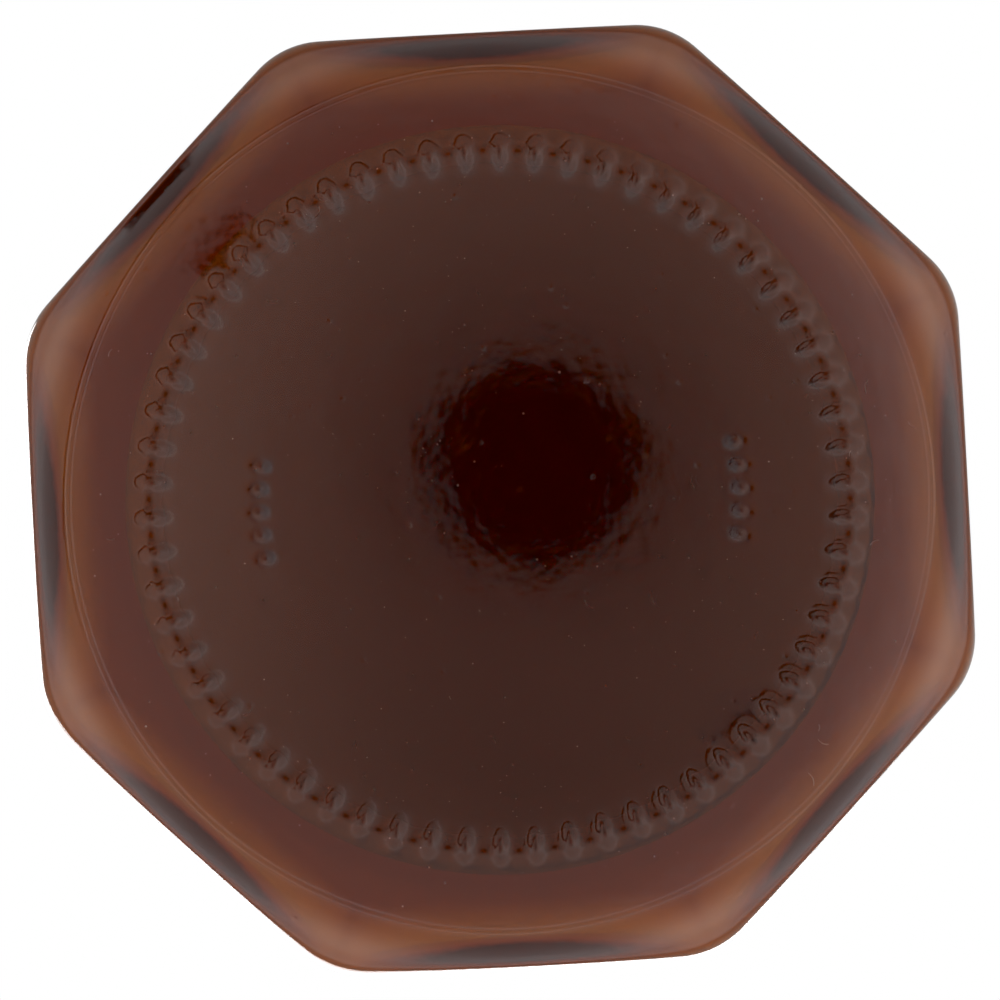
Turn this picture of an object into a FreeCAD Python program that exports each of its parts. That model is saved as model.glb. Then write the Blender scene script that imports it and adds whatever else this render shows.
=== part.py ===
"""Octagonal amber glass dispenser bottle with a screw-on piston pump.

Units are millimetres. The origin is the centre of the base on the plane that the bottle stands on,
+Z points up the bottle, and the pump's spout points along +X. Each piece is one STEP file in parts/.
"""

import FreeCAD
import Part

import math
import os

from FreeCAD import Vector

OUT = "parts"
UP = Vector(0, 0, 1)

# Bottle body: an octagon with rounded edges, rounded off by one turned profile at heel and shoulder
SIDES = 8
ACROSS_FLATS = 70.0
EDGE_RADIUS = 6.4
WALL = 2.8
SHOULDER_Z = 138.0
SHOULDER_RADIUS = 25.0
NECK_FILLET = 5.0
TURNED_RADIUS = 38.2
SCALLOP_FILLET = 2.0

# Base: pushed-up centre, ribbed bearing ring, sloped land and heel
PUSH_UP = 2.2
BASE_THICKNESS = 4.4
RING_RADIUS = 26.2
RING_Z = 0.34
RING_ROUND = 3.0
RING_INNER = 24.6
RING_OUTER = 27.1
LAND_RADIUS = 32.4
LAND_Z = 1.31
INNER_HEEL_RADIUS = 6.4
RIB_COUNT = 62
RIB_RADIUS = 25.85
RIB_CREST = (1.9, 0.4)
RIB_ROOT = (3.4, 1.3)
RIB_HEIGHT = 0.9

# Neck finish for a 28 mm closure
NECK_RADIUS = 14.4
NECK_BAND = 2.2
FINISH_RADIUS = 12.6
FINISH_HEIGHT = 11.5
BORE_RADIUS = 8.8
LIP_ROUND = 1.0

# Clearances: a sliding fit, two pieces of one unit, and two bodies that move past each other
FIT_GAP = 0.05
SEAT_GAP = 0.02
UNIT_GAP = 0.1
BODY_GAP = 0.4

# Screw closure
CLOSURE_RADIUS = 16.3
CLOSURE_BORE = 14.0
CLOSURE_TOP = 1.8
CLOSURE_HOLE = 9.6
CLOSURE_ROUND = 1.0
GRIP_COUNT = 60
GRIP_RADIUS = 0.42
GRIP_MARGIN = 1.8

# Pump unit: gasket, cylinder, guide ring, dip tube and spring
GASKET_THICKNESS = 1.0
GASKET_RADIUS = 12.4
GASKET_BORE = 9.0
FLANGE_RADIUS = 12.9
FLANGE_THICKNESS = 1.6
CYLINDER_BORE = 6.8
CYLINDER_WALL = 1.1
CYLINDER_DEPTH = 46.0
CYLINDER_TAPER = 4.0
COLLAR_RADIUS = 9.2
COLLAR_HEIGHT = 4.4
TAIL_RADIUS = 4.7
VALVE_BORE = 3.2
VALVE_DEPTH = 6.0
SEAT_BORE = 1.7
SEAT_DEPTH = 2.0
THROAT_LENGTH = 1.0
SOCKET_DEPTH = 13.0
BALL_STOPS = 3
BALL_STOP_REACH = 1.3
BALL_STOP_SIZE = 0.9
VENT_RADIUS = 0.6
VENT_DEPTH = 13.0
TUBE_RADIUS = 3.2
TUBE_BORE = 2.3
TUBE_FOOT_GAP = 3.0
GUIDE_RADIUS = 11.6
GUIDE_SIDE = 8.0
GUIDE_CROWN = 10.5
GUIDE_CROWN_RADIUS = 8.6
GUIDE_BORE = 5.6
GUIDE_DEPTH = 9.5
GUIDE_WEB = 1.3
GUIDE_CHAMFER = 0.5
SPRING_RADIUS = 4.9
SPRING_WIRE = 1.0
SPRING_TURNS = 7

# Piston rod
STROKE = 14.0
STEM_RADIUS = 3.4
STEM_FOOT_RADIUS = 2.9
STEM_BORE = 1.3
STEM_TOP = 22.0
STEM_SHOULDER = 1.2
PLUG_SOCKET = 2.1
PLUG_SOCKET_DEPTH = 6.0
OUTLET_BORE = 2.3
OUTLET_DEPTH = 5.0
OUTLET_SEAT = 1.4
PISTON_TOP = 10.0
PISTON_LENGTH = 8.0
PISTON_HUB = 4.4
PISTON_WAIST = 6.4
PISTON_SLEEVE = 5.8
PISTON_WEB = 1.6
PISTON_LIP = 1.2
PLUG_RADIUS = 5.6
PLUG_FLANGE = 1.5
PLUG_NOSE_RADIUS = 3.9
PLUG_NOSE = 4.0
PLUG_BORE = 1.2
INLET_BALL = 2.4
OUTLET_BALL = 1.9

# Pump head: boss on the stem, dished thumb pad and a spout that droops along an arc
BOSS_RADIUS = 5.2
BOSS_FOOT = 9.0
HEAD_TOP = 33.0
PAD_RADIUS = 12.4
PAD_DISH = 1.5
PAD_ROUND = 2.2
PAD_RIM = 1.2
SPOUT_REACH = 34.0
SPOUT_BEND_START = 14.0
SPOUT_DROOP = 16.0
SPOUT_LEVEL = 28.4
SPOUT_ROOT = (17.0, 5.8)
SPOUT_TIP = (8.0, 5.0)
SPOUT_CORNER = 0.42
SPOUT_SECTIONS = 6
RISER_RADIUS = 1.8
CHANNEL_RADIUS = 1.6

# Contents
FILL_BELOW_SHOULDER = 8.0

# Derived places on the bottle
APOTHEM = ACROSS_FLATS / 2
HALF_SIDE = math.pi / SIDES
BLEND_ANGLE = math.acos(
    (NECK_RADIUS + NECK_FILLET - TURNED_RADIUS + SHOULDER_RADIUS) / (SHOULDER_RADIUS + NECK_FILLET)
)
NECK_Z = SHOULDER_Z + (SHOULDER_RADIUS + NECK_FILLET) * math.sin(BLEND_ANGLE)
BAND_TOP = NECK_Z + NECK_BAND
RIM_Z = BAND_TOP + FINISH_HEIGHT
BASE_INSIDE = PUSH_UP + BASE_THICKNESS
FILL_Z = SHOULDER_Z - FILL_BELOW_SHOULDER

# Derived heights of the pump, from the rim that it sits on
FLANGE_Z = RIM_Z + GASKET_THICKNESS
CLAMP_Z = FLANGE_Z + FLANGE_THICKNESS
CLOSURE_FOOT = BAND_TOP + BODY_GAP
CLOSURE_Z = CLAMP_Z + UNIT_GAP + CLOSURE_TOP
COLLAR_Z = CLAMP_Z + COLLAR_HEIGHT
CYLINDER_Z = RIM_Z - CYLINDER_DEPTH
INLET_Z = CYLINDER_Z - VALVE_DEPTH - SEAT_DEPTH
SOCKET_Z = INLET_Z - THROAT_LENGTH
TAIL_Z = SOCKET_Z - SOCKET_DEPTH
PISTON_Z = RIM_Z - PISTON_TOP
PLUG_Z = PISTON_Z - PISTON_LENGTH
SPRING_Z = PLUG_Z - PLUG_FLANGE
STEM_Z = RIM_Z + STEM_TOP
OUTLET_Z = STEM_Z - OUTLET_DEPTH
GUIDE_FOOT = RIM_Z - GUIDE_DEPTH
TUBE_FOOT = BASE_INSIDE + TUBE_FOOT_GAP
HEAD_FOOT = RIM_Z + GUIDE_CROWN + STROKE + 2 * BODY_GAP
SPOUT_Z = RIM_Z + SPOUT_LEVEL
SPOUT_BEND = (SPOUT_REACH - SPOUT_BEND_START) / math.sin(math.radians(SPOUT_DROOP))


def turned(outline):
    """Solid of revolution about Z. A step of the outline is a point (r, z), or (through, end) for an arc."""
    edges = []
    here = Vector(outline[0][0], 0, outline[0][1])
    for step in outline[1:] + outline[:1]:
        is_arc = isinstance(step[0], tuple)
        end = step[1] if is_arc else step
        there = Vector(end[0], 0, end[1])
        if here.distanceToPoint(there) < 1e-7:
            continue
        if is_arc:
            through = Vector(step[0][0], 0, step[0][1])
            edges.append(Part.Arc(here, through, there).toShape())
        else:
            edges.append(Part.LineSegment(here, there).toShape())
        here = there
    face = Part.Face(Part.Wire(edges))
    return face.revolve(Vector(), UP, 360).Solids[0]


def rod(radius, low, high):
    """A plain upright cylinder between two heights."""
    return Part.makeCylinder(radius, high - low, Vector(0, 0, low))


def tube(outer, inner, low, high):
    """A plain upright ring between two heights."""
    return rod(outer, low, high).cut(rod(inner, low - 1, high + 1))


def round_z(shape, count):
    """Copies of a shape, evenly spaced about Z."""
    copies = []
    for place in range(count):
        one = shape.copy()
        one.rotate(Vector(), UP, place * 360 / count)
        copies.append(one)
    return copies


def on_arc(centre, radius, angle):
    """The point (r, z) of a circle in the outline's plane, at an angle from +r."""
    return (centre[0] + radius * math.cos(angle), centre[1] + radius * math.sin(angle))


def axis_arc(pole, edge):
    """Arc of a sphere about Z between the axis and an edge point: a point halfway along it."""
    drop = pole - edge[1]
    radius = (edge[0] ** 2 + drop ** 2) / (2 * drop)
    half_angle = math.asin(edge[0] / abs(radius)) / 2
    return (abs(radius) * math.sin(half_angle), pole - radius + radius * math.cos(half_angle))


def ball_height(ball, throat, mouth, low, rise):
    """Height of a ball's centre when it rests on a cone that opens from throat to mouth."""
    slant = math.hypot(mouth - throat, rise)
    return low + ((ball + SEAT_GAP) * slant - throat * rise) / (mouth - throat)


def octagon_prism(apothem, edge_radius, low, high):
    """Octagonal bar with rounded upright edges and a flat facing +X."""
    half_flat = (apothem - edge_radius) * math.tan(HALF_SIDE)
    corner = (apothem - edge_radius) / math.cos(HALF_SIDE) + edge_radius
    edges = []
    for side in range(SIDES):
        middle = 2 * side * HALF_SIDE
        flat = [Vector(apothem, -half_flat, low), Vector(apothem, half_flat, low)]
        start, end = [point_turned(point, middle) for point in flat]
        next_start = point_turned(flat[0], middle + 2 * HALF_SIDE)
        tip = point_turned(Vector(corner, 0, low), middle + HALF_SIDE)
        edges.append(Part.LineSegment(start, end).toShape())
        edges.append(Part.Arc(end, tip, next_start).toShape())
    face = Part.Face(Part.Wire(edges))
    return face.extrude(UP * (high - low))


def point_turned(point, angle):
    """A point turned about Z."""
    cosine = math.cos(angle)
    sine = math.sin(angle)
    return Vector(point.x * cosine - point.y * sine, point.x * sine + point.y * cosine, point.z)


def on_ring(radius):
    """The point (r, z) of the bearing ring's round, at a distance from the axis."""
    return (radius, RING_Z + RING_ROUND - math.sqrt(RING_ROUND ** 2 - (radius - RING_RADIUS) ** 2))


def heel_arc():
    """Start, middle and end of the heel's arc, which leaves the land at its slope and ends upright."""
    ring_out = on_ring(RING_OUTER)
    slope = math.atan2(LAND_Z - ring_out[1], LAND_RADIUS - ring_out[0])
    radius = (TURNED_RADIUS - LAND_RADIUS) / (1 - math.sin(slope))
    centre = (TURNED_RADIUS - radius, LAND_Z + radius * math.cos(slope))
    start = slope - math.pi / 2
    return [on_arc(centre, radius, start * share) for share in (1.0, 0.5, 0.0)]


def shoulder_outline(inset):
    """The shoulder and the neck's fillet, set in by a wall, from the upright side to the neck."""
    centre = (TURNED_RADIUS - SHOULDER_RADIUS, SHOULDER_Z)
    convex = SHOULDER_RADIUS - inset
    concave = NECK_FILLET + inset
    fillet_centre = (NECK_RADIUS + NECK_FILLET, NECK_Z)
    middle = math.pi + BLEND_ANGLE / 2
    return [
        (TURNED_RADIUS - inset, SHOULDER_Z),
        (on_arc(centre, convex, BLEND_ANGLE / 2), on_arc(centre, convex, BLEND_ANGLE)),
        (on_arc(fillet_centre, concave, middle), on_arc(fillet_centre, concave, math.pi)),
    ]


def scallop_edges(shape):
    """The curved edges where the turned heel and shoulder meet the octagon's sides."""
    found = []
    for edge in shape.Edges:
        inner = min(math.hypot(vertex.Point.x, vertex.Point.y) for vertex in edge.Vertexes)
        is_upright = abs(edge.BoundBox.ZLength - edge.Length) < 1e-6
        if inner > APOTHEM - 0.5 and not is_upright:
            found.append(edge)
    return found


def bottle_outside():
    """Outer form of the glass: octagon, turned base, heel and shoulder, and the neck finish."""
    heel_start, heel_mid, heel_end = heel_arc()
    ring_in = on_ring(RING_INNER)
    ring_out = on_ring(RING_OUTER)
    outline = [(0, PUSH_UP), (axis_arc(PUSH_UP, ring_in), ring_in), ((RING_RADIUS, RING_Z), ring_out)]
    outline += [heel_start, (heel_mid, heel_end)] + shoulder_outline(0.0)
    outline += [(NECK_RADIUS, BAND_TOP), (0, BAND_TOP)]
    blank = octagon_prism(APOTHEM, EDGE_RADIUS, 0, BAND_TOP)
    body = turned(outline).common(blank).Solids[0]
    body = body.makeFillet(SCALLOP_FILLET, scallop_edges(body))
    lip_centre = (FINISH_RADIUS - LIP_ROUND, RIM_Z - LIP_ROUND)
    lip_arc = (on_arc(lip_centre, LIP_ROUND, math.pi / 4), (lip_centre[0], RIM_Z))
    finish = [(0, NECK_Z), (FINISH_RADIUS, NECK_Z), (FINISH_RADIUS, lip_centre[1]), lip_arc, (0, RIM_Z)]
    return body.fuse(turned(finish))


def grain_outline(size, height):
    """A pointed grain, length by width, along +X across the bearing ring."""
    half = size[0] / 2
    tips = [Vector(RIB_RADIUS - half, 0, height), Vector(RIB_RADIUS + half, 0, height)]
    sides = [Vector(RIB_RADIUS, way * size[1] / 2, height) for way in (1, -1)]
    there = Part.Arc(tips[0], sides[0], tips[1]).toShape()
    back = Part.Arc(tips[1], sides[1], tips[0]).toShape()
    return Part.Wire([there, back])


def bearing_rib():
    """One rib of the bearing ring: a narrow crest on the standing plane that widens into the glass."""
    return Part.makeLoft([grain_outline(RIB_CREST, 0), grain_outline(RIB_ROOT, RIB_HEIGHT)], True, True)


def bottle_inside():
    """The hollow of the bottle, up to and past the rim."""
    inner_turned = TURNED_RADIUS - WALL
    heel_centre = (inner_turned - INNER_HEEL_RADIUS, BASE_INSIDE - 1.0 + INNER_HEEL_RADIUS)
    heel_low, heel_mid, heel_end = [
        on_arc(heel_centre, INNER_HEEL_RADIUS, -math.pi / 2 * share) for share in (1.0, 0.5, 0.0)
    ]
    outline = [(0, BASE_INSIDE), (axis_arc(BASE_INSIDE, heel_low), heel_low), (heel_mid, heel_end)]
    outline += shoulder_outline(WALL) + [(BORE_RADIUS + 1.0, NECK_Z), (BORE_RADIUS, NECK_Z + 2.0)]
    outline += [(BORE_RADIUS, RIM_Z + 1), (0, RIM_Z + 1)]
    blank = octagon_prism(APOTHEM - WALL, EDGE_RADIUS - WALL / 2, 0, RIM_Z + 2)
    return turned(outline).common(blank).Solids[0]


def bottle(hollow):
    """The glass: one moulded piece with its bearing ring of ribs."""
    return bottle_outside().fuse(round_z(bearing_rib(), RIB_COUNT)).cut(hollow).Solids[0]


def liquid_fill(hollow):
    """The contents up to the fill line, with room for the pump's tail and the dip tube."""
    level = Part.makeBox(4 * APOTHEM, 4 * APOTHEM, FILL_Z, Vector(-2 * APOTHEM, -2 * APOTHEM, 0))
    tail_room = rod(TAIL_RADIUS + BODY_GAP, TAIL_Z - BODY_GAP, FILL_Z + 1)
    tube_room = rod(TUBE_RADIUS + BODY_GAP, TUBE_FOOT - BODY_GAP, FILL_Z + 1)
    return hollow.common(level).cut(tail_room.fuse(tube_room)).Solids[0]


def closure():
    """Screw collar: a skirt with gripping flutes and a top that clamps the pump's flange."""
    round_centre = (CLOSURE_RADIUS - CLOSURE_ROUND, CLOSURE_Z - CLOSURE_ROUND)
    round_arc = (on_arc(round_centre, CLOSURE_ROUND, math.pi / 4), (round_centre[0], CLOSURE_Z))
    skirt = turned([
        (CLOSURE_BORE, CLOSURE_FOOT),
        (CLOSURE_RADIUS, CLOSURE_FOOT),
        (CLOSURE_RADIUS, round_centre[1]),
        round_arc,
        (CLOSURE_HOLE, CLOSURE_Z),
        (CLOSURE_HOLE, CLAMP_Z + UNIT_GAP),
        (CLOSURE_BORE, CLAMP_Z + UNIT_GAP),
    ])
    flute = rod(GRIP_RADIUS, CLOSURE_FOOT + GRIP_MARGIN, CLOSURE_Z - GRIP_MARGIN)
    flute.translate(Vector(CLOSURE_RADIUS + GRIP_RADIUS / 4, 0, 0))
    return skirt.cut(round_z(flute, GRIP_COUNT))


def neck_gasket():
    """Flat seal between the glass rim and the pump's flange."""
    return tube(GASKET_RADIUS, GASKET_BORE, RIM_Z, FLANGE_Z)


def pump_housing():
    """Cylinder with its flange, collar, inlet valve chamber and dip tube socket."""
    outside = CYLINDER_BORE + CYLINDER_WALL
    body = turned([
        (CYLINDER_BORE, COLLAR_Z),
        (COLLAR_RADIUS, COLLAR_Z),
        (COLLAR_RADIUS, CLAMP_Z),
        (FLANGE_RADIUS, CLAMP_Z),
        (FLANGE_RADIUS, FLANGE_Z),
        (outside, FLANGE_Z),
        (outside, CYLINDER_Z),
        (TAIL_RADIUS, CYLINDER_Z - CYLINDER_TAPER),
        (TAIL_RADIUS, TAIL_Z),
        (TUBE_RADIUS + SEAT_GAP, TAIL_Z),
        (TUBE_RADIUS + SEAT_GAP, SOCKET_Z),
        (SEAT_BORE, SOCKET_Z),
        (SEAT_BORE, INLET_Z),
        (VALVE_BORE, INLET_Z + SEAT_DEPTH),
        (VALVE_BORE, CYLINDER_Z),
        (CYLINDER_BORE, CYLINDER_Z),
    ])
    stop = Part.makeBox(BALL_STOP_REACH + 0.5, BALL_STOP_SIZE, BALL_STOP_SIZE)
    stop.translate(Vector(VALVE_BORE - BALL_STOP_REACH, -BALL_STOP_SIZE / 2, CYLINDER_Z - BALL_STOP_SIZE))
    vent_place = Vector(0, CYLINDER_BORE - 1, RIM_Z - VENT_DEPTH)
    vent = Part.makeCylinder(VENT_RADIUS, 4, vent_place, Vector(0, 1, 0))
    return body.fuse(round_z(stop, BALL_STOPS)).cut(vent).Solids[0]


def guide_ring():
    """Ring that closes the cylinder: a crown over the collar and a tube whose web guides the stem."""
    tube_outside = CYLINDER_BORE - UNIT_GAP
    skirt_inside = COLLAR_RADIUS + UNIT_GAP
    stem_hole = STEM_RADIUS + FIT_GAP
    crown_z = RIM_Z + GUIDE_CROWN
    side_z = RIM_Z + GUIDE_SIDE
    crown_mid = ((GUIDE_RADIUS + GUIDE_CROWN_RADIUS) / 2 + 0.55, (side_z + crown_z) / 2 + 0.45)
    return turned([
        (stem_hole, GUIDE_FOOT),
        (tube_outside, GUIDE_FOOT),
        (tube_outside, COLLAR_Z + SEAT_GAP),
        (skirt_inside, COLLAR_Z + SEAT_GAP),
        (skirt_inside, CLOSURE_Z + BODY_GAP),
        (GUIDE_RADIUS, CLOSURE_Z + BODY_GAP),
        (GUIDE_RADIUS, side_z),
        (crown_mid, (GUIDE_CROWN_RADIUS, crown_z)),
        (GUIDE_BORE + GUIDE_CHAMFER, crown_z),
        (GUIDE_BORE, crown_z - GUIDE_CHAMFER),
        (GUIDE_BORE, GUIDE_FOOT + GUIDE_WEB),
        (stem_hole, GUIDE_FOOT + GUIDE_WEB),
    ])


def dip_tube():
    """Straight tube from the socket to just above the base, its foot cut at a slant."""
    pipe = tube(TUBE_RADIUS, TUBE_BORE, TUBE_FOOT, SOCKET_Z - SEAT_GAP)
    wedge = Part.makePolygon([
        Vector(-TUBE_RADIUS, 0, TUBE_FOOT),
        Vector(TUBE_RADIUS + 1, 0, TUBE_FOOT + 2 * TUBE_RADIUS + 1),
        Vector(TUBE_RADIUS + 1, 0, TUBE_FOOT - 1),
        Vector(-TUBE_RADIUS, 0, TUBE_FOOT - 1),
        Vector(-TUBE_RADIUS, 0, TUBE_FOOT),
    ])
    prism = Part.Face(wedge).extrude(Vector(0, 4 * TUBE_RADIUS, 0))
    prism.translate(Vector(0.4, -2 * TUBE_RADIUS, 0))
    return pipe.cut(prism).Solids[0]


def helix_point(turn, low, pitch):
    """Point and direction on the spring's centre line after a number of turns."""
    angle = 2 * math.pi * turn
    point = Vector(SPRING_RADIUS * math.cos(angle), SPRING_RADIUS * math.sin(angle), low + pitch * turn)
    along = Vector(-SPRING_RADIUS * math.sin(angle), SPRING_RADIUS * math.cos(angle), pitch / (2 * math.pi))
    return point, along.normalize()


def tangent_arc(start, corner, end):
    """Arc that leaves start towards the corner and arrives at end from it, with both legs alike."""
    middle = (start + end) * 0.5
    rise = corner.sub(middle).Length
    half_chord = end.sub(start).Length / 2
    leg = corner.sub(start).Length
    sagitta = half_chord * rise / (leg + half_chord)
    through = middle + corner.sub(middle).normalize() * sagitta
    return Part.Arc(start, through, end).toShape()


def biarc(start, start_along, end, end_along):
    """Two arcs with one direction where they meet, from start to end along both directions."""
    gap = end - start
    both = start_along + end_along
    a = both.dot(both) - 4
    b = -2 * gap.dot(both)
    c = gap.dot(gap)
    leg = (-b - math.sqrt(b * b - 4 * a * c)) / (2 * a)
    if leg < 0:
        leg = (-b + math.sqrt(b * b - 4 * a * c)) / (2 * a)
    first = start + start_along * leg
    last = end - end_along * leg
    meet = (first + last) * 0.5
    return [tangent_arc(start, first, meet), tangent_arc(meet, last, end)]


def return_spring():
    """Wound wire spring between the cylinder's foot and the plug, one tube along quarter-turn arcs."""
    low = CYLINDER_Z + SPRING_WIRE / 2 + SEAT_GAP
    pitch = (SPRING_Z - SPRING_WIRE / 2 - SEAT_GAP - low) / SPRING_TURNS
    edges = []
    for quarter in range(4 * SPRING_TURNS):
        start, start_along = helix_point(quarter / 4, low, pitch)
        end, end_along = helix_point((quarter + 1) / 4, low, pitch)
        edges += biarc(start, start_along, end, end_along)
    first, along = helix_point(0, low, pitch)
    section = Part.Wire(Part.makeCircle(SPRING_WIRE / 2, first, along))
    wire = Part.Wire(edges).makePipeShell([section], True, False)
    gap = least_turn_gap(low, pitch)
    print("spring pitch", round(pitch, 2), "least gap between turns", round(gap, 2))
    return wire.Solids[0] if wire.Solids else Part.Solid(wire)


def least_turn_gap(low, pitch):
    """Smallest gap between points of the spring that are half a turn or more apart."""
    steps = 24
    points = [helix_point(step / steps, low, pitch)[0] for step in range(SPRING_TURNS * steps + 1)]
    nearest = min(
        points[one].distanceToPoint(points[other])
        for one in range(len(points))
        for other in range(one + steps // 2, min(one + 2 * steps, len(points)))
    )
    return nearest - SPRING_WIRE


def stem():
    """Hollow rod: stepped foot for the piston, and the outlet valve's chamber at its top."""
    shoulder_z = PISTON_Z - STEM_SHOULDER
    socket_top = PLUG_Z + PLUG_SOCKET_DEPTH
    return turned([
        (PLUG_SOCKET, PLUG_Z + SEAT_GAP),
        (STEM_FOOT_RADIUS, PLUG_Z + SEAT_GAP),
        (STEM_FOOT_RADIUS, shoulder_z),
        (STEM_RADIUS, shoulder_z),
        (STEM_RADIUS, STEM_Z),
        (OUTLET_BORE, STEM_Z),
        (OUTLET_BORE, OUTLET_Z + OUTLET_SEAT),
        (STEM_BORE, OUTLET_Z),
        (STEM_BORE, socket_top),
        (PLUG_SOCKET, socket_top),
    ])


def piston():
    """Hub on the stem's foot, with a sleeve whose two lips seal in the cylinder."""
    low = PLUG_Z + SEAT_GAP
    high = PISTON_Z
    middle = (low + high) / 2
    lip = CYLINDER_BORE - FIT_GAP
    hub = tube(PISTON_HUB, STEM_FOOT_RADIUS + SEAT_GAP, low, high - STEM_SHOULDER - SEAT_GAP)
    web = tube(PISTON_WAIST - 0.2, PISTON_HUB - 0.2, middle - PISTON_WEB / 2, middle + PISTON_WEB / 2)
    sleeve = turned([
        (PISTON_SLEEVE, low + 1),
        (lip - 0.3, low),
        (lip, low + 0.2),
        (lip, low + PISTON_LIP),
        (PISTON_WAIST, low + 2 * PISTON_LIP),
        (PISTON_WAIST, high - 2 * PISTON_LIP),
        (lip, high - PISTON_LIP),
        (lip, high - 0.2),
        (lip - 0.3, high),
        (PISTON_SLEEVE, high - 1),
    ])
    return hub.fuse([web, sleeve]).Solids[0]


def stem_plug():
    """Plug in the stem's foot: its flange holds the piston and seats the spring that its nose guides."""
    nose_z = SPRING_Z - PLUG_NOSE
    spigot_z = PLUG_Z + PLUG_SOCKET_DEPTH - 2 * UNIT_GAP
    return turned([
        (PLUG_BORE, nose_z),
        (PLUG_NOSE_RADIUS - 0.8, nose_z),
        (PLUG_NOSE_RADIUS, nose_z + 1.2),
        (PLUG_NOSE_RADIUS, SPRING_Z),
        (PLUG_RADIUS, SPRING_Z),
        (PLUG_RADIUS, PLUG_Z),
        (PLUG_SOCKET - SEAT_GAP, PLUG_Z),
        (PLUG_SOCKET - SEAT_GAP, spigot_z),
        (PLUG_BORE, spigot_z),
    ])


def inlet_ball():
    """Check ball on the seat at the cylinder's foot."""
    height = ball_height(INLET_BALL, SEAT_BORE, VALVE_BORE, INLET_Z, SEAT_DEPTH)
    return Part.makeSphere(INLET_BALL, Vector(0, 0, height))


def outlet_ball():
    """Check ball on the seat at the top of the stem."""
    height = ball_height(OUTLET_BALL, STEM_BORE, OUTLET_BORE, OUTLET_Z, OUTLET_SEAT)
    return Part.makeSphere(OUTLET_BALL, Vector(0, 0, height))


def spout_section(share):
    """Rounded rectangle across the spout, a share of the way from the head's axis to the tip."""
    width = SPOUT_ROOT[0] + (SPOUT_TIP[0] - SPOUT_ROOT[0]) * share ** 0.8
    height = SPOUT_ROOT[1] + (SPOUT_TIP[1] - SPOUT_ROOT[1]) * share
    corner = SPOUT_CORNER * height
    place = SPOUT_REACH * share
    tilt = math.asin(max(place - SPOUT_BEND_START, 0) / SPOUT_BEND)
    drop = SPOUT_BEND * (1 - math.cos(tilt))
    edges = []
    for quarter in range(4):
        swapped = quarter % 2 == 1
        across = (height if swapped else width) / 2
        up = (width if swapped else height) / 2
        start = Vector(0, across, -up + corner)
        end = Vector(0, across, up - corner)
        centre = Vector(0, across - corner, up - corner)
        through = centre + Vector(0, corner, corner) * math.sqrt(0.5)
        after = Vector(0, across - corner, up)
        straight = Part.LineSegment(start, end).toShape()
        bend = Part.Arc(end, through, after).toShape()
        for edge in (straight, bend):
            edge.rotate(Vector(), Vector(1, 0, 0), 90 * quarter)
            edges.append(edge)
    outline = Part.Wire(edges)
    outline.rotate(Vector(), Vector(0, 1, 0), math.degrees(tilt))
    outline.translate(Vector(place, 0, SPOUT_Z - drop))
    return outline


def spout_channel():
    """The way for the liquid: up from the stem, along the spout and round its droop to the tip."""
    up = rod(RISER_RADIUS, STEM_Z, SPOUT_Z + CHANNEL_RADIUS)
    along = Part.makeCylinder(CHANNEL_RADIUS, SPOUT_BEND_START, Vector(0, 0, SPOUT_Z), Vector(1, 0, 0))
    bend_start = Vector(SPOUT_BEND_START, 0, SPOUT_Z)
    section = Part.Face(Part.Wire(Part.makeCircle(CHANNEL_RADIUS, bend_start, Vector(1, 0, 0))))
    bend_centre = bend_start - UP * SPOUT_BEND
    bend = section.revolve(bend_centre, Vector(0, 1, 0), SPOUT_DROOP + 1)
    return up.fuse([along, bend])


def pump_head():
    """Pressed head: dished thumb pad, boss on the stem and drooping spout."""
    top = RIM_Z + HEAD_TOP
    low_round = (PAD_RADIUS - PAD_ROUND, HEAD_FOOT + PAD_ROUND)
    high_round = (PAD_RADIUS - PAD_RIM, top - PAD_RIM)
    dish_edge = (PAD_RADIUS - PAD_RIM - 0.8, top)
    pad = turned([
        (0, HEAD_FOOT),
        (low_round[0], HEAD_FOOT),
        (on_arc(low_round, PAD_ROUND, -math.pi / 4), (PAD_RADIUS, low_round[1])),
        (PAD_RADIUS, high_round[1]),
        (on_arc(high_round, PAD_RIM, math.pi / 4), (high_round[0], top)),
        dish_edge,
        (axis_arc(top - PAD_DISH, dish_edge), (0, top - PAD_DISH)),
    ])
    sections = [spout_section(step / SPOUT_SECTIONS) for step in range(SPOUT_SECTIONS + 1)]
    spout = Part.makeLoft(sections, True, False)
    boss = rod(BOSS_RADIUS, RIM_Z + BOSS_FOOT, HEAD_FOOT + 1)
    socket = rod(STEM_RADIUS + FIT_GAP, RIM_Z + BOSS_FOOT - 1, STEM_Z + 2 * UNIT_GAP)
    body = pad.fuse([spout, boss])
    return body.cut(socket.fuse(spout_channel())).Solids[0]


def main():
    os.makedirs(OUT, exist_ok=True)
    hollow = bottle_inside()
    pieces = {
        "bottle": bottle(hollow),
        "liquid_fill": liquid_fill(hollow),
        "closure": closure(),
        "neck_gasket": neck_gasket(),
        "pump_housing": pump_housing(),
        "guide_ring": guide_ring(),
        "stem": stem(),
        "piston": piston(),
        "stem_plug": stem_plug(),
        "return_spring": return_spring(),
        "inlet_ball": inlet_ball(),
        "outlet_ball": outlet_ball(),
        "dip_tube": dip_tube(),
        "pump_head": pump_head(),
    }
    for name, shape in pieces.items():
        print(name, "valid", shape.isValid(), "solids", len(shape.Solids), "mm3", round(shape.Volume))
        shape.exportStep(os.path.join(OUT, name + ".step"))
    print("brimful ml", round(hollow.Volume / 1000), "rim", round(RIM_Z, 3))


main()
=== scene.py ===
"""Looks of an octagonal amber glass bottle with a screw-on pump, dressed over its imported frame."""

import math

import bpy
import numpy as np
from bpy.props import FloatProperty, FloatVectorProperty, IntProperty, PointerProperty
from mathutils import Matrix, Vector


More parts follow.
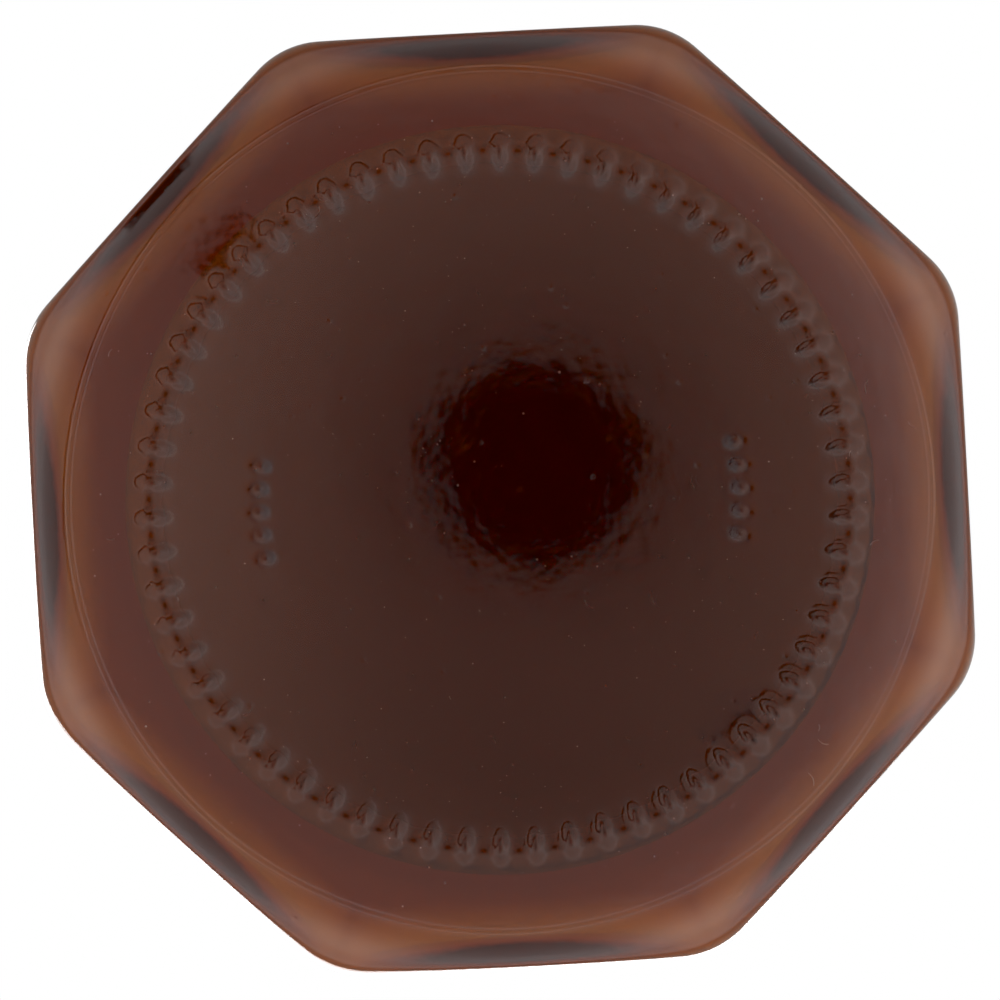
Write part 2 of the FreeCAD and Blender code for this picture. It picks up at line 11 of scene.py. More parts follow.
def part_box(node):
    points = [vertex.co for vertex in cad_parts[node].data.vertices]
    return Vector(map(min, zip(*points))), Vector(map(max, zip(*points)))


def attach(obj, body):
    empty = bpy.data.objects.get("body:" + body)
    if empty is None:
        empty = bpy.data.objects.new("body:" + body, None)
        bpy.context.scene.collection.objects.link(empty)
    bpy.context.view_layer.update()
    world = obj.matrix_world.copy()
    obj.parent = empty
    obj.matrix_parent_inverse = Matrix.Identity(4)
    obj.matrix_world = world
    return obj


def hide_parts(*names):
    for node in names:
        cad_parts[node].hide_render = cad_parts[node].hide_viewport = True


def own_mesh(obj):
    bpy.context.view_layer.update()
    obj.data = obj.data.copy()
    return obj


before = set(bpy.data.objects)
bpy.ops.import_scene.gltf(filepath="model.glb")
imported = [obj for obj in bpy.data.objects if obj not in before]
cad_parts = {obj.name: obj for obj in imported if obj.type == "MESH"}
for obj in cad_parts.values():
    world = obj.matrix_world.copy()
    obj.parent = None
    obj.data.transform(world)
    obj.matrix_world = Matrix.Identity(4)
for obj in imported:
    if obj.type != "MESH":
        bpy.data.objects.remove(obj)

bl_info = {
    "name": "Amber pump bottle",
    "version": (1, 0, 0),
    "blender": (4, 5, 0),
    "location": "View3D > Sidebar > Pump bottle",
    "description": "Dresses the packed frame of a glass pump bottle",
    "category": "Object",
}

MM = 0.001
FULL_TURN = 2 * math.pi
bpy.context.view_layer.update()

# Spokes round the glass: few where it is plain, many where the bearing ribs are
PLAIN_SPOKES = 124
BODY_SPOKES = 248
HEEL_SPOKES = 496
RIB_SPOKES = 992

# How strongly spokes gather at the ribs, and how far from the ribs' middle that ends and fades
RIB_GATHER = 0.6
RIB_ZONE = 2.2
RIB_ZONE_FADE = 0.9

# Outside of the glass, in millimetres from the axis and from the standing plane
TURNED_RADIUS = 38.2
DOME_RIM = 25.68
BEAD_CREST = (26.2, 0.18)
BEAD_ROUND = 3.5
BEAD_OUT = 26.72
LAND_END = (32.4, 1.2)
SCALLOP_BLEND = 0.9
SHOULDER_Z = 138.0
SHOULDER_RADIUS = 25.0
NECK_RADIUS = 14.4
NECK_FILLET = 5.0
NECK_BAND = 2.2
BAND_ROUND = 0.4
FINISH_RADIUS = 12.6
FINISH_HEIGHT = 11.5
FINISH_FILLET = 0.3
BORE_RADIUS = 8.8
BORE_ROUND = 0.8
BORE_FLARE = (1.0, 2.0)
LIP_ROUND = 1.0

# A point below this height is on the underside
UNDERSIDE = 3.0

# Where the plain octagon ends under the shoulder, and where the turned form starts
OCTAGON_TOP = SHOULDER_Z - 4.0
TURNED_FROM = SHOULDER_Z - 3.0

# How far the ribs' many spokes go on outside the bead, and the distances between rows:
# on the bead, close outside it, on the land and across the joint lines
NEAR_LAND = 1.4
BEAD_STEP = 0.11
NEAR_STEP = 0.24
LAND_STEP = 0.7
SEAM_STEP = 0.06

# A row this far out lies past the octagon's corners, so it is the plain octagon
PAST_CORNERS = 4.0
PLAIN_OCTAGON = TURNED_RADIUS + PAST_CORNERS

# Small steps in the base as place, width and rise: the bearing ring's outer wall and the mould's joint lines
RING_WALL = (26.66, 0.3, 0.008)
SEAMS = ((32.05, 0.14, 0.05), (32.45, 0.14, 0.05))

# The neck thread: its foot above the neck band, its half width in pitches, its fading ends in turns,
# and how far in from the finish's outside it still moves points
THREAD_FOOT = 2.4
THREAD_HALF_WIDTH = 1 / 5.2
THREAD_FADE = 0.12
THREAD_SKIN = 0.4

# Inside of the glass: its heel's round, its base's thickness and fall to the heel, and the blend of its edges
INNER_HEEL = 6.4
BASE_THICKNESS = 4.84
BASE_DROP = 2.0
INNER_BLEND = 0.8

# Where the hollow's plain octagon ends under the shoulder and, above the heel, starts
INNER_OCTAGON_TOP = SHOULDER_Z - 2.0
HEEL_CLEAR = 1.0

# The contents: a hair above the base, a hair into the wall, and how steeply the gap closes towards the heel
FILL_Z = 130.0
BASE_GAP = 0.06
WALL_CONTACT = 0.03
CLOSING = 9.6

# The contents wet the glass from this far out, or this far above the base's centre
WET_FROM = 28.2
WET_ABOVE = 1.0

# The round at the top of the contents: in from the wall and down from the fill line
MENISCUS = ((0.25, 0.3), (0.8, 0.5), (2.4, 0.6))

# Room in the contents for the dip tube and the pump's tail
TUBE_ROOM = 3.6
TAIL_ROOM = 5.1
TUBE_ROOM_Z = 9.2
TAIL_ROOM_Z = 112.65

# Where the contents change their look, their painted light and their gloss: from the axis, then above the
# standing plane
DEEP_SPREAD = (6.0, 27.8)
DULL_SPREAD = (24.5, 27.8)
HEEL_SPREAD = (29.2, 32.6)
CORNER_SPREAD = (0.0, 2.2)
GLOW_HEIGHTS = (9.3, 11.6)
WALL_HEIGHTS = (18.0, 45.0)

# Plain raised dots that the mould leaves on the base
DOT_RING = 18.0
DOT_RADIUS = 0.55
DOT_ROOM = 1.2
DOT_HEIGHT = 0.22
DOT_STEP = math.radians(5.5)
DOTS_IN_ROW = 5

# How far out the dust lies, and how its sizes spread about the middling one
DUST_REACH = 31.0
GRAIN_SPREAD = (0.35, 1.6)
FIBRE_SPREAD = (0.5, 1.3)

# Points along the spring's wire and sides round it
WIRE_POINTS = 340
WIRE_SIDES = 14

# Real sizes of the materials' patterns, in millimetres
GLASS_WAVE = 4.545
GLASS_SEEDS = 3.03
LIQUID_CLOUD = 16.67
MOULD_GRAIN = 0.2
MOULD_FLOW = 11.11
RESIN_CLOUD = 7.143
FOAM_CELL = 0.2
WIRE_POLISH = 0.3333
LAPPING_HAZE = 0.4
DUST_TONE = 1.111
CARD_GRAIN = 1.111

# Brightness of the tent by the angle, in degrees, from the way to the opening that the camera looks through
TENT = (
    (0.0, 0.0), (3.6, 0.0), (4.6, 0.26), (7.4, 0.37), (11.0, 0.47), (16.0, 0.62), (20.5, 0.62),
    (23.0, 0.88), (25.5, 1.1), (29.0, 0.8), (36.0, 0.75), (43.0, 0.95), (50.0, 1.15), (60.0, 1.6),
    (70.0, 1.8), (77.0, 1.7), (85.0, 1.35), (100.0, 1.2), (112.0, 0.34), (180.0, 0.34),
)
TENT_PEAK = 1.9

# What is left of it by the same angle: along a narrow dark arm, and under a dark arc on the arm's side
ARM = ((12.0, 1.0), (14.0, 0.0), (19.0, 0.0), (21.0, 1.0), (52.0, 1.0), (56.0, 0.0), (92.0, 0.0), (98.0, 1.0))
BROW = ((24.2, 1.0), (25.2, 0.0), (27.6, 0.0), (28.6, 1.0))

# Where the opening lies beside the axis, to the picture's right and up, and where its edge ends, in degrees
OPENING = (-0.025, -0.0245)
OPENING_EDGE = (6.0, 12.0)

# The arm's turn in the picture, its half width in degrees, and how far the arc faces its way, as cosines
ARM_TURN = math.radians(138.0)
ARM_HALF_WIDTH = (3.0, 6.0)
BROW_FACING = (0.35, 0.75)

# How bright the tent is above and below and at the sides, and what it gains to the right and upwards
TENT_ENDS = 0.88
TENT_SIDES = 1.2
GAIN_RIGHT = 0.1
GAIN_UP = -0.2

# Lamp, camera and floor, which lies a little under the bottle and fades out from a share of its radius
LAMP_PLACE = (0.35, -0.5, 1.3)
SENSOR_WIDTH = 36.0
CAMERA_ROLL = math.radians(3.0)
FLOOR_SPOKES = 96
FLOOR_DROP = 0.2
FLOOR_FADE_FROM = 0.25

# Where the shoulder's round meets the neck's fillet, and the heights that follow from it
BOTH_ROUNDS = SHOULDER_RADIUS + NECK_FILLET
BLEND_ANGLE = math.acos((NECK_RADIUS - TURNED_RADIUS + BOTH_ROUNDS) / BOTH_ROUNDS)
NECK_Z = SHOULDER_Z + BOTH_ROUNDS * math.sin(BLEND_ANGLE)
BAND_TOP = NECK_Z + NECK_BAND
RIM_Z = BAND_TOP + FINISH_HEIGHT
SHOULDER_CENTRE = (TURNED_RADIUS - SHOULDER_RADIUS, SHOULDER_Z)
FILLET_CENTRE = (NECK_RADIUS + NECK_FILLET, NECK_Z)


def linear(hex_colour):
    """An sRGB hex colour as linear RGBA."""
    channels = [int(hex_colour[k : k + 2], 16) / 255 for k in (1, 3, 5)]
    return [c / 12.92 if c <= 0.04045 else ((c + 0.055) / 1.055) ** 2.4 for c in channels] + [1.0]


def colour(label, hex_colour, description):
    """A colour that a user can change, given as an sRGB hex value."""
    default = linear(hex_colour)[:3]
    return FloatVectorProperty(name=label, description=description, subtype="COLOR", size=3, default=default)


def length(label, metres, description):
    """A length that a user can change, given in metres."""
    return FloatProperty(name=label, description=description, default=metres, unit="LENGTH")


class BottleSizes(bpy.types.PropertyGroup):
    """Sizes and tint of the moulded glass, and colours of the contents."""

    across_flats: length("Across flats", 0.070, "Width of the octagon")
    edge_radius: length("Edge radius", 0.0064, "Round of the upright edges")
    wall: length("Wall", 0.0028, "Thickness of the side walls")
    push_up: length("Push-up", 0.00176, "Rise of the base's centre")
    rib_count: IntProperty(name="Ribs", description="Radial ribs on the bearing ring", default=62)
    rib_height: length("Rib height", 0.000175, "Height of a rib's crest")
    rib_width: length("Rib width", 0.00042, "Half width of a rib")
    rib_middle: length("Rib place", 0.02585, "Radius of a rib's middle")
    rib_reach: length("Rib reach", 0.0017, "Half length of a rib")
    thread_pitch: length("Thread pitch", 0.00423, "Rise in one turn")
    thread_depth: length("Thread depth", 0.0011, "Height of the neck thread")
    thread_turns: FloatProperty(name="Thread turns", description="Turns of the neck thread", default=1.4)
    tint: colour("Tint", "#FAD625", "Light that the glass lets through")
    density: FloatProperty(name="Density", description="Absorption in a metre of glass", default=530.0)
    dust_grains: FloatProperty(name="Dust grains", description="Grains on a square metre", default=150000.0)
    dust_fibres: FloatProperty(name="Dust fibres", description="Fibres on a square metre", default=8000.0)
    grain_size: length("Grain size", 0.00012, "Middling width of a grain")
    fibre_length: length("Fibre length", 0.0008, "Middling length of a fibre")
    liquid: colour("Liquid", "#3E0602", "Colour of the contents in their depth")
    # Painted light on the contents: the paler colours they show through the side walls and at the heel
    liquid_wall: colour("Liquid at the wall", "#5E2B12", "Colour of the contents through the side walls")
    liquid_heel_painted_light: colour("Liquid at the heel", "#90866C", "Colour of the contents where light reaches them")


class PumpSizes(bpy.types.PropertyGroup):
    """Sizes of the wound spring and colours of the pump's mouldings."""

    spring_turns: FloatProperty(name="Turns", description="Turns of the spring", default=7.0)
    spring_radius: length("Mean radius", 0.0049, "Axis to wire centre")
    wire: length("Wire", 0.001, "Diameter of the wire")
    outer: colour("Outer mouldings", "#101011", "Collar, guide ring and head")
    inner: colour("Inner mouldings", "#DFDDD3", "Cylinder, stem, piston and dip tube")


class StageSizes(bpy.types.PropertyGroup):
    """Camera and light."""

    distance: length("Camera distance", 2.0, "From the base's plane")
    picture: length("Picture width", 0.07465, "Width seen at the base")
    roll: FloatProperty(
        name="Roll", description="Turn of the bottle in the picture", default=CAMERA_ROLL, unit="ROTATION"
    )
    lamp_power: FloatProperty(name="Lamp power", description="Of the soft lamp", default=18.0, unit="POWER")
    lamp_size: length("Lamp size", 1.2, "Side of the soft lamp overhead")
    floor: length("Floor radius", 0.9, "Where the floor has faded out")


# Node and mesh helpers

def add(tree, kind, inputs=None, **settings):
    """Adds a node, sets its settings, and gives each input a value or a link.

    A node given as an input is linked by its first output in use.
    """
    node = tree.nodes.new(kind)
    for name, value in settings.items():
        setattr(node, name, value)
    for key, value in (inputs or {}).items():
        if isinstance(value, bpy.types.Node):
            value = next(socket for socket in value.outputs if socket.enabled)
        if isinstance(value, bpy.types.NodeSocket):
            tree.links.new(value, node.inputs[key])
        else:
            node.inputs[key].default_value = value
    return node


def new_material(name):
    """An empty node material, its tree, and the place on the piece that its patterns read."""
    material = bpy.data.materials.new(name)
    material.use_nodes = True
    tree = material.node_tree
    tree.nodes.clear()
    return material, tree, add(tree, "ShaderNodeTexCoord").outputs["Object"]


def close_material(material, **shaders):
    """Ends a material in its surface, and its volume where it has one."""
    add(material.node_tree, "ShaderNodeOutputMaterial", shaders)
    return material


def per(size):
    """The scale of a pattern whose real size is given in millimetres."""
    return 1 / (size * MM)


def ramp(start, end, low=0.0, high=1.0):
    """Inputs of a map range that runs between two places given in millimetres."""
    return {"From Min": start * MM, "From Max": end * MM, "To Min": low, "To Max": high}


def off_axis(tree, place):
    """How far a place is from the bottle's axis."""
    level = add(tree, "ShaderNodeVectorMath", {0: place, 1: (1, 1, 0)}, operation="MULTIPLY")
    return add(tree, "ShaderNodeVectorMath", {0: level}, operation="LENGTH")


def stops(ramp_node, *pairs):
    """Sets a colour ramp's stops, each a place and a grey level or a colour."""
    elements = ramp_node.color_ramp.elements
    while len(elements) < len(pairs):
        elements.new(0.5)
    for element, (place, tone) in zip(elements, pairs):
        element.position = place
        element.color = (tone, tone, tone, 1.0) if isinstance(tone, float) else tone


def by_degrees(table, peak=1.0):
    """A table of degrees and brightness as the stops of a ramp over half a turn."""
    return [(degrees / 180, level / peak) for degrees, level in table]


def arc(centre, radius, start, end, step):
    """Points of an arc in the profile's plane, about step apart, without its first."""
    count = max(1, round(abs(end - start) * radius / step))
    angles = [start + (end - start) * k / count for k in range(1, count + 1)]
    return [(centre[0] + radius * math.cos(a), centre[1] + radius * math.sin(a)) for a in angles]


def line(first, last, step):
    """Points of a straight stretch of the profile, about step apart, without its first."""
    count = max(1, round(math.dist(first, last) / step))
    return [tuple(first[i] + (last[i] - first[i]) * k / count for i in (0, 1)) for k in range(1, count + 1)]


def cap(pole, rim, step):
    """Points of a sphere's cap from the axis out to its rim, without the pole."""
    rise = pole - rim[1]
    radius = (rim[0] ** 2 + rise ** 2) / (2 * rise)
    count = max(1, round(rim[0] / step))
    outs = [rim[0] * k / count for k in range(1, count + 1)]
    return [(r, pole - radius + math.copysign(math.sqrt(radius ** 2 - r ** 2), radius)) for r in outs]


def octagon(angles, apothem, edge_radius):
    """Distance from the axis to a round-edged octagon along each spoke, a flat facing +X."""
    half = math.pi / 8
    turn = (angles + half) % (2 * half) - half
    core = (apothem - edge_radius) / math.cos(half)
    off = half - np.abs(turn)
    edge = core * np.cos(off) + np.sqrt(np.maximum(edge_radius ** 2 - (core * np.sin(off)) ** 2, 0))
    flat_half = math.atan((apothem - edge_radius) * math.tan(half) / apothem)
    return np.where(np.abs(turn) < flat_half, apothem / np.cos(turn), edge)


def smooth_least(a, b, blend):
    """The lesser of two distances, rounded where they are about equal."""
    near = np.maximum(blend - np.abs(a - b), 0) / blend
    return np.minimum(a, b) - near ** 2 * blend / 4


def ring_rows(points, spokes, apothem, edge_radius, blend, ribs=1, gather=0.0):
    """A closed row for each point of a profile, held inside an octagon, its spokes drawn towards ribs."""
    order = np.arange(spokes) * ribs / spokes
    angles = (order - gather * np.sin(FULL_TURN * order) / FULL_TURN) * FULL_TURN / ribs
    limit = octagon(angles, apothem, edge_radius)
    rows = []
    for radius, height in points:
        out = smooth_least(np.full(spokes, radius), limit, blend)
        rows.append(np.stack([out * np.cos(angles), out * np.sin(angles), np.full(spokes, height)], axis=1))
    return rows


def band(a, b, start_a, start_b):
    """Faces between two rows, whose counts are equal or one twice the other."""
    if a == b:
        k = np.arange(a)
        nxt = (k + 1) % a
        return np.stack([start_a + k, start_a + nxt, start_b + nxt, start_b + k], axis=1).tolist()
    k = np.arange(min(a, b))
    one, two, three = 2 * k, 2 * k + 1, (2 * k + 2) % max(a, b)
    nxt = (k + 1) % min(a, b)
    if a < b:
        corners = [
            (start_a + k, start_b + two, start_b + one),
            (start_a + k, start_a + nxt, start_b + two),
            (start_a + nxt, start_b + three, start_b + two),
        ]
    else:
        corners = [
            (start_a + one, start_a + two, start_b + k),
            (start_a + two, start_b + nxt, start_b + k),
            (start_a + two, start_a + three, start_b + nxt),
        ]
    return [face for corner in corners for face in np.stack(corner, axis=1).tolist()]


def skin(name, first_pole, rows, last_pole):
    """A closed smooth mesh object over rows of points, in millimetres, from one pole to the other."""
    points = [np.array([[0, 0, first_pole]])] + rows + [np.array([[0, 0, last_pole]])]
    starts = np.cumsum([0] + [len(row) for row in points]).tolist()
    count = len(rows[0])
    faces = [(0, 1 + (k + 1) % count, 1 + k) for k in range(count)]
    for k in range(1, len(rows)):
        faces += band(len(points[k]), len(points[k + 1]), starts[k], starts[k + 1])
    count = len(rows[-1])
    faces += [(starts[-3] + k, starts[-3] + (k + 1) % count, starts[-2]) for k in range(count)]
    mesh = bpy.data.meshes.new(name)
    mesh.from_pydata((np.concatenate(points) * MM).tolist(), [], faces)
    mesh.shade_smooth()
    return linked(name, mesh)


def linked(name, data):
    """A new object of the scene."""
    thing = bpy.data.objects.new(name, data)
    bpy.context.scene.collection.objects.link(thing)
    return thing


def grown(thing, tree, values):
    """Runs a Geometry Nodes tree on an object with named inputs and leaves its result as a plain mesh."""
    modifier = thing.modifiers.new("rule", "NODES")
    modifier.node_group = tree
    for item in tree.interface.items_tree:
        if item.item_type == "SOCKET" and item.in_out == "INPUT" and item.name in values:
            modifier[item.identifier] = values[item.name]
    bpy.context.view_layer.update()
    evaluated = thing.evaluated_get(bpy.context.evaluated_depsgraph_get())
    mesh = bpy.data.meshes.new_from_object(evaluated)
    thing.modifiers.remove(modifier)
    thing.data = mesh
    mesh.shade_smooth()


def new_rule(name, *numbers, whole=()):
    """An empty Geometry Nodes tree and its inputs: geometry, and the named plain and whole numbers."""
    tree = bpy.data.node_groups.new(name, "GeometryNodeTree")
    tree.interface.new_socket("Geometry", in_out="INPUT", socket_type="NodeSocketGeometry")
    tree.interface.new_socket("Geometry", in_out="OUTPUT", socket_type="NodeSocketGeometry")
    for label in whole:
        tree.interface.new_socket(label, in_out="INPUT", socket_type="NodeSocketInt")
    for label in numbers:
        tree.interface.new_socket(label, in_out="INPUT", socket_type="NodeSocketFloat")
    return tree, add(tree, "NodeGroupInput").outputs


def close_rule(tree, geometry, material):
    """Ends a Geometry Nodes tree in Realize Instances and Set Material."""
    real = add(tree, "GeometryNodeRealizeInstances", {"Geometry": geometry})
    done = add(tree, "GeometryNodeSetMaterial", {"Geometry": real, "Material": material})
    add(tree, "NodeGroupOutput", {"Geometry": done})
    return tree


# Materials

def amber_glass(sizes):
    """Soda-lime container glass, coloured amber and blown in an iron mould.

    It reflects about four parts in a hundred, swallows blue within a few millimetres, and its skin
    waves a little where the iron chilled it. Small seeds dot it.
    """
    material, tree, place = new_material("soda_lime_glass_amber_mould_blown")
    waving = {"Vector": place, "Scale": per(GLASS_WAVE), "Detail": 3.0, "Roughness": 0.6}
    wave = add(tree, "ShaderNodeTexNoise", waving)
    chill = add(tree, "ShaderNodeBump", {"Height": wave, "Strength": 0.06, "Distance": 0.6 * MM})
    pits = add(tree, "ShaderNodeTexVoronoi", {"Vector": place, "Scale": per(GLASS_SEEDS), "Randomness": 1.0})
    seed_share = {"From Min": 0.0, "From Max": 0.09, "To Min": 1.0, "To Max": 0.0}
    speck = add(tree, "ShaderNodeMapRange", {"Value": pits, **seed_share})
    pitted = {"Height": speck, "Strength": 0.25, "Distance": 0.1 * MM, "Normal": chill}
    seeds = add(tree, "ShaderNodeBump", pitted)
    clear = {"Base Color": (1, 1, 1, 1), "Roughness": 0.02, "IOR": 1.52, "Transmission Weight": 1.0}
    glass = add(tree, "ShaderNodeBsdfPrincipled", {**clear, "Normal": seeds})
    inside = add(tree, "ShaderNodeVolumeAbsorption", {"Color": (*sizes.tint, 1.0), "Density": sizes.density})
    return close_material(material, Surface=glass, Volume=inside)


def deep_contents(sizes):
    """A dark red-brown liquid, seen over its depth through the base.

    It is near black at the centre and grows paler outwards: painted light for the light that reaches it
    through the side walls. Its skin is glossy at the centre and dull where it closes on the glass.
    """
    material, tree, place = new_material("liquid_dark_red_brown_deep_painted_light")
    out = off_axis(tree, place)
    spread = add(tree, "ShaderNodeMapRange", {"Value": out, **ramp(*DEEP_SPREAD)})
    tone = add(tree, "ShaderNodeValToRGB", {0: spread})
    # Painted light: past the first stop the liquid grows paler towards the heel, where light reaches it
    # through the walls
    stops(tone, (0.0, (*sizes.liquid, 1.0)), (0.83, linear("#3A120A")), (1.0, linear("#46301E")))
    dull = add(tree, "ShaderNodeMapRange", {"Value": out, **ramp(*DULL_SPREAD, 0.06, 0.8)})
    cloud = add(tree, "ShaderNodeTexNoise", {"Vector": place, "Scale": per(LIQUID_CLOUD), "Detail": 2.0})
    ripple = add(tree, "ShaderNodeBump", {"Height": cloud, "Strength": 0.04, "Distance": 0.5 * MM})
    glossy = {"Base Color": tone, "Roughness": dull, "IOR": 1.5, "Normal": ripple}
    body = add(tree, "ShaderNodeBsdfPrincipled", glossy)
    return close_material(material, Surface=body)


def lit_contents(sizes):
    """The same liquid where it wets the glass.

    It has no skin of its own to shine there. Its colour is painted light: paler low down at the heel
    and paler still at the octagon's corners, where light reaches it through the glass, and shifting
    from olive low on the walls to red-brown higher up.
    """
    material, tree, place = new_material("liquid_dark_red_brown_at_the_wall_painted_light")
    height = add(tree, "ShaderNodeSeparateXYZ", {0: place}).outputs["Z"]
    # How far out a place is, measured square to the octagon's nearest flat
    folded = add(tree, "ShaderNodeVectorMath", {0: place}, operation="ABSOLUTE")
    sides = add(tree, "ShaderNodeSeparateXYZ", {0: folded}).outputs
    square = add(tree, "ShaderNodeMath", {0: sides["X"], 1: sides["Y"]}, operation="MAXIMUM")
    both = add(tree, "ShaderNodeMath", {0: sides["X"], 1: sides["Y"]}, operation="ADD")
    diamond = add(tree, "ShaderNodeMath", {0: both, 1: math.sqrt(0.5)}, operation="MULTIPLY")
    out = add(tree, "ShaderNodeMath", {0: square, 1: diamond}, operation="MAXIMUM")
    # Painted light: a pale glow low down at the heel, paler still at the octagon's corners
    heel = {"Value": out, **ramp(*HEEL_SPREAD)}
    thin = add(tree, "ShaderNodeMapRange", heel, interpolation_type="SMOOTHSTEP")
    beyond = add(tree, "ShaderNodeMath", {0: off_axis(tree, place), 1: out}, operation="SUBTRACT")
    corner = add(tree, "ShaderNodeMapRange", {"Value": beyond, **ramp(*CORNER_SPREAD)})
    low = add(tree, "ShaderNodeMapRange", {"Value": height, **ramp(*GLOW_HEIGHTS, 1.0, 0.0)})
    edge = add(tree, "ShaderNodeMath", {0: thin, 1: low}, operation="MULTIPLY")
    # Painted light on the walls: the tone shifts from olive low down to red-brown higher up
    climb = {"Value": height, **ramp(*WALL_HEIGHTS)}
    high = add(tree, "ShaderNodeMapRange", climb, interpolation_type="SMOOTHSTEP")
    glow = {"Factor": corner, "A": (*sizes.liquid_heel_painted_light, 1), "B": linear("#A39E80")}
    wall = {"Factor": high, "A": linear("#524C26"), "B": (*sizes.liquid_wall, 1)}
    lit = add(tree, "ShaderNodeMix", glow, data_type="RGBA")
    upper = add(tree, "ShaderNodeMix", wall, data_type="RGBA")
    # Painted tone below the glow's heights, away from the heel
    dark = add(tree, "ShaderNodeMix", {"Factor": low, "A": upper, "B": linear("#70502F")}, data_type="RGBA")
    tone = add(tree, "ShaderNodeMix", {"Factor": edge, "A": dark, "B": lit}, data_type="RGBA")
    matt = {"Base Color": tone, "Roughness": 0.5, "IOR": 1.5, "Specular IOR Level": 0.0}
    body = add(tree, "ShaderNodeBsdfPrincipled", matt)
    return close_material(material, Surface=body)


def satin_black(sizes):
    """Polypropylene, moulded in a spark-eroded tool: black, with a fine grain that softens the highlights."""
    material, tree, place = new_material("polypropylene_black_satin_moulded")
    grain = add(tree, "ShaderNodeTexNoise", {"Vector": place, "Scale": per(MOULD_GRAIN), "Detail": 2.0})
    flow = add(tree, "ShaderNodeTexNoise", {"Vector": place, "Scale": per(MOULD_FLOW), "Detail": 4.0})
    polish = add(tree, "ShaderNodeMapRange", {"Value": flow, "To Min": 0.3, "To Max": 0.46})
    relief = add(tree, "ShaderNodeBump", {"Height": grain, "Strength": 0.12, "Distance": 0.1 * MM})
    blacks = {"Factor": flow, "A": linear("#1A1A1B"), "B": (*sizes.outer, 1)}
    tone = add(tree, "ShaderNodeMix", blacks, data_type="RGBA")
    satin = {"Base Color": tone, "Roughness": polish, "IOR": 1.49, "Normal": relief}
    body = add(tree, "ShaderNodeBsdfPrincipled", satin)
    return close_material(material, Surface=body)


def natural_plastic(sizes):
    """Unpigmented polypropylene, moulded: milky, a little warm, with light that spreads under the skin."""
    material, tree, place = new_material("polypropylene_natural_moulded")
    cloud = add(tree, "ShaderNodeTexNoise", {"Vector": place, "Scale": per(RESIN_CLOUD), "Detail": 3.0})
    whites = {"Factor": cloud, "A": linear("#D2D0C5"), "B": (*sizes.inner, 1)}
    tone = add(tree, "ShaderNodeMix", whites, data_type="RGBA")
    polish = add(tree, "ShaderNodeMapRange", {"Value": cloud, "To Min": 0.28, "To Max": 0.42})
    body = add(
        tree,
        "ShaderNodeBsdfPrincipled",
        {
            "Base Color": tone,
            "Roughness": polish,
            "IOR": 1.49,
            "Subsurface Weight": 0.35,
            "Subsurface Radius": (1.0, 0.9, 0.8),
            "Subsurface Scale": 1.0 * MM,
        },
    )
    return close_material(material, Surface=body)


def foam_gasket():
    """Polyethylene foam, die cut: off-white and matt, with cells of about 0.2 mm that show on its edge."""
    material, tree, place = new_material("polyethylene_foam_die_cut")
    cells = add(tree, "ShaderNodeTexVoronoi", {"Vector": place, "Scale": per(FOAM_CELL)})
    whites = {"Factor": cells, "A": linear("#E2E1DA"), "B": linear("#C9C7BE")}
    tone = add(tree, "ShaderNodeMix", whites, data_type="RGBA")
    pores = add(tree, "ShaderNodeBump", {"Height": cells, "Strength": 0.4, "Distance": 0.2 * MM})
    foam = {"Base Color": tone, "Roughness": 0.85, "IOR": 1.5, "Normal": pores}
    body = add(tree, "ShaderNodeBsdfPrincipled", foam)
    return close_material(material, Surface=body)


def drawn_wire():
    """Stainless spring steel, drawn: bright grey, its polish a little uneven from the die."""
    material, tree, place = new_material("stainless_steel_drawn_wire")
    uneven = add(tree, "ShaderNodeTexNoise", {"Vector": place, "Scale": per(WIRE_POLISH), "Detail": 3.0})
    polish = add(tree, "ShaderNodeMapRange", {"Value": uneven, "To Min": 0.18, "To Max": 0.34})
    greys = {"Factor": uneven, "A": linear("#B9BABB"), "B": linear("#CFCFCE")}
    tone = add(tree, "ShaderNodeMix", greys, data_type="RGBA")
    body = add(tree, "ShaderNodeBsdfPrincipled", {"Base Color": tone, "Metallic": 1.0, "Roughness": polish})
    return close_material(material, Surface=body)


def polished_steel():
    """Stainless steel balls, lapped: mirror bright, with a trace of lapping haze."""
    material, tree, place = new_material("stainless_steel_lapped")
    haze = add(tree, "ShaderNodeTexNoise", {"Vector": place, "Scale": per(LAPPING_HAZE), "Detail": 4.0})
    polish = add(tree, "ShaderNodeMapRange", {"Value": haze, "To Min": 0.04, "To Max": 0.12})
    steel = {"Base Color": linear("#D2D2D0"), "Metallic": 1.0, "Roughness": polish}
    return close_material(material, Surface=add(tree, "ShaderNodeBsdfPrincipled", steel))


def settled_dust():
    """House dust and lint: pale, matt grains and fibres that catch the light on the dark glass."""
    material, tree, place = new_material("dust_and_lint_settled")
    mix = add(tree, "ShaderNodeTexNoise", {"Vector": place, "Scale": per(DUST_TONE), "Detail": 1.0})
    pales = {"Factor": mix, "A": linear("#A89C8E"), "B": linear("#F6F1E8")}
    tone = add(tree, "ShaderNodeMix", pales, data_type="RGBA")
    body = add(tree, "ShaderNodeBsdfPrincipled", {"Base Color": tone, "Roughness": 0.9, "IOR": 1.45})
    return close_material(material, Surface=body)


# Rules for Geometry Nodes

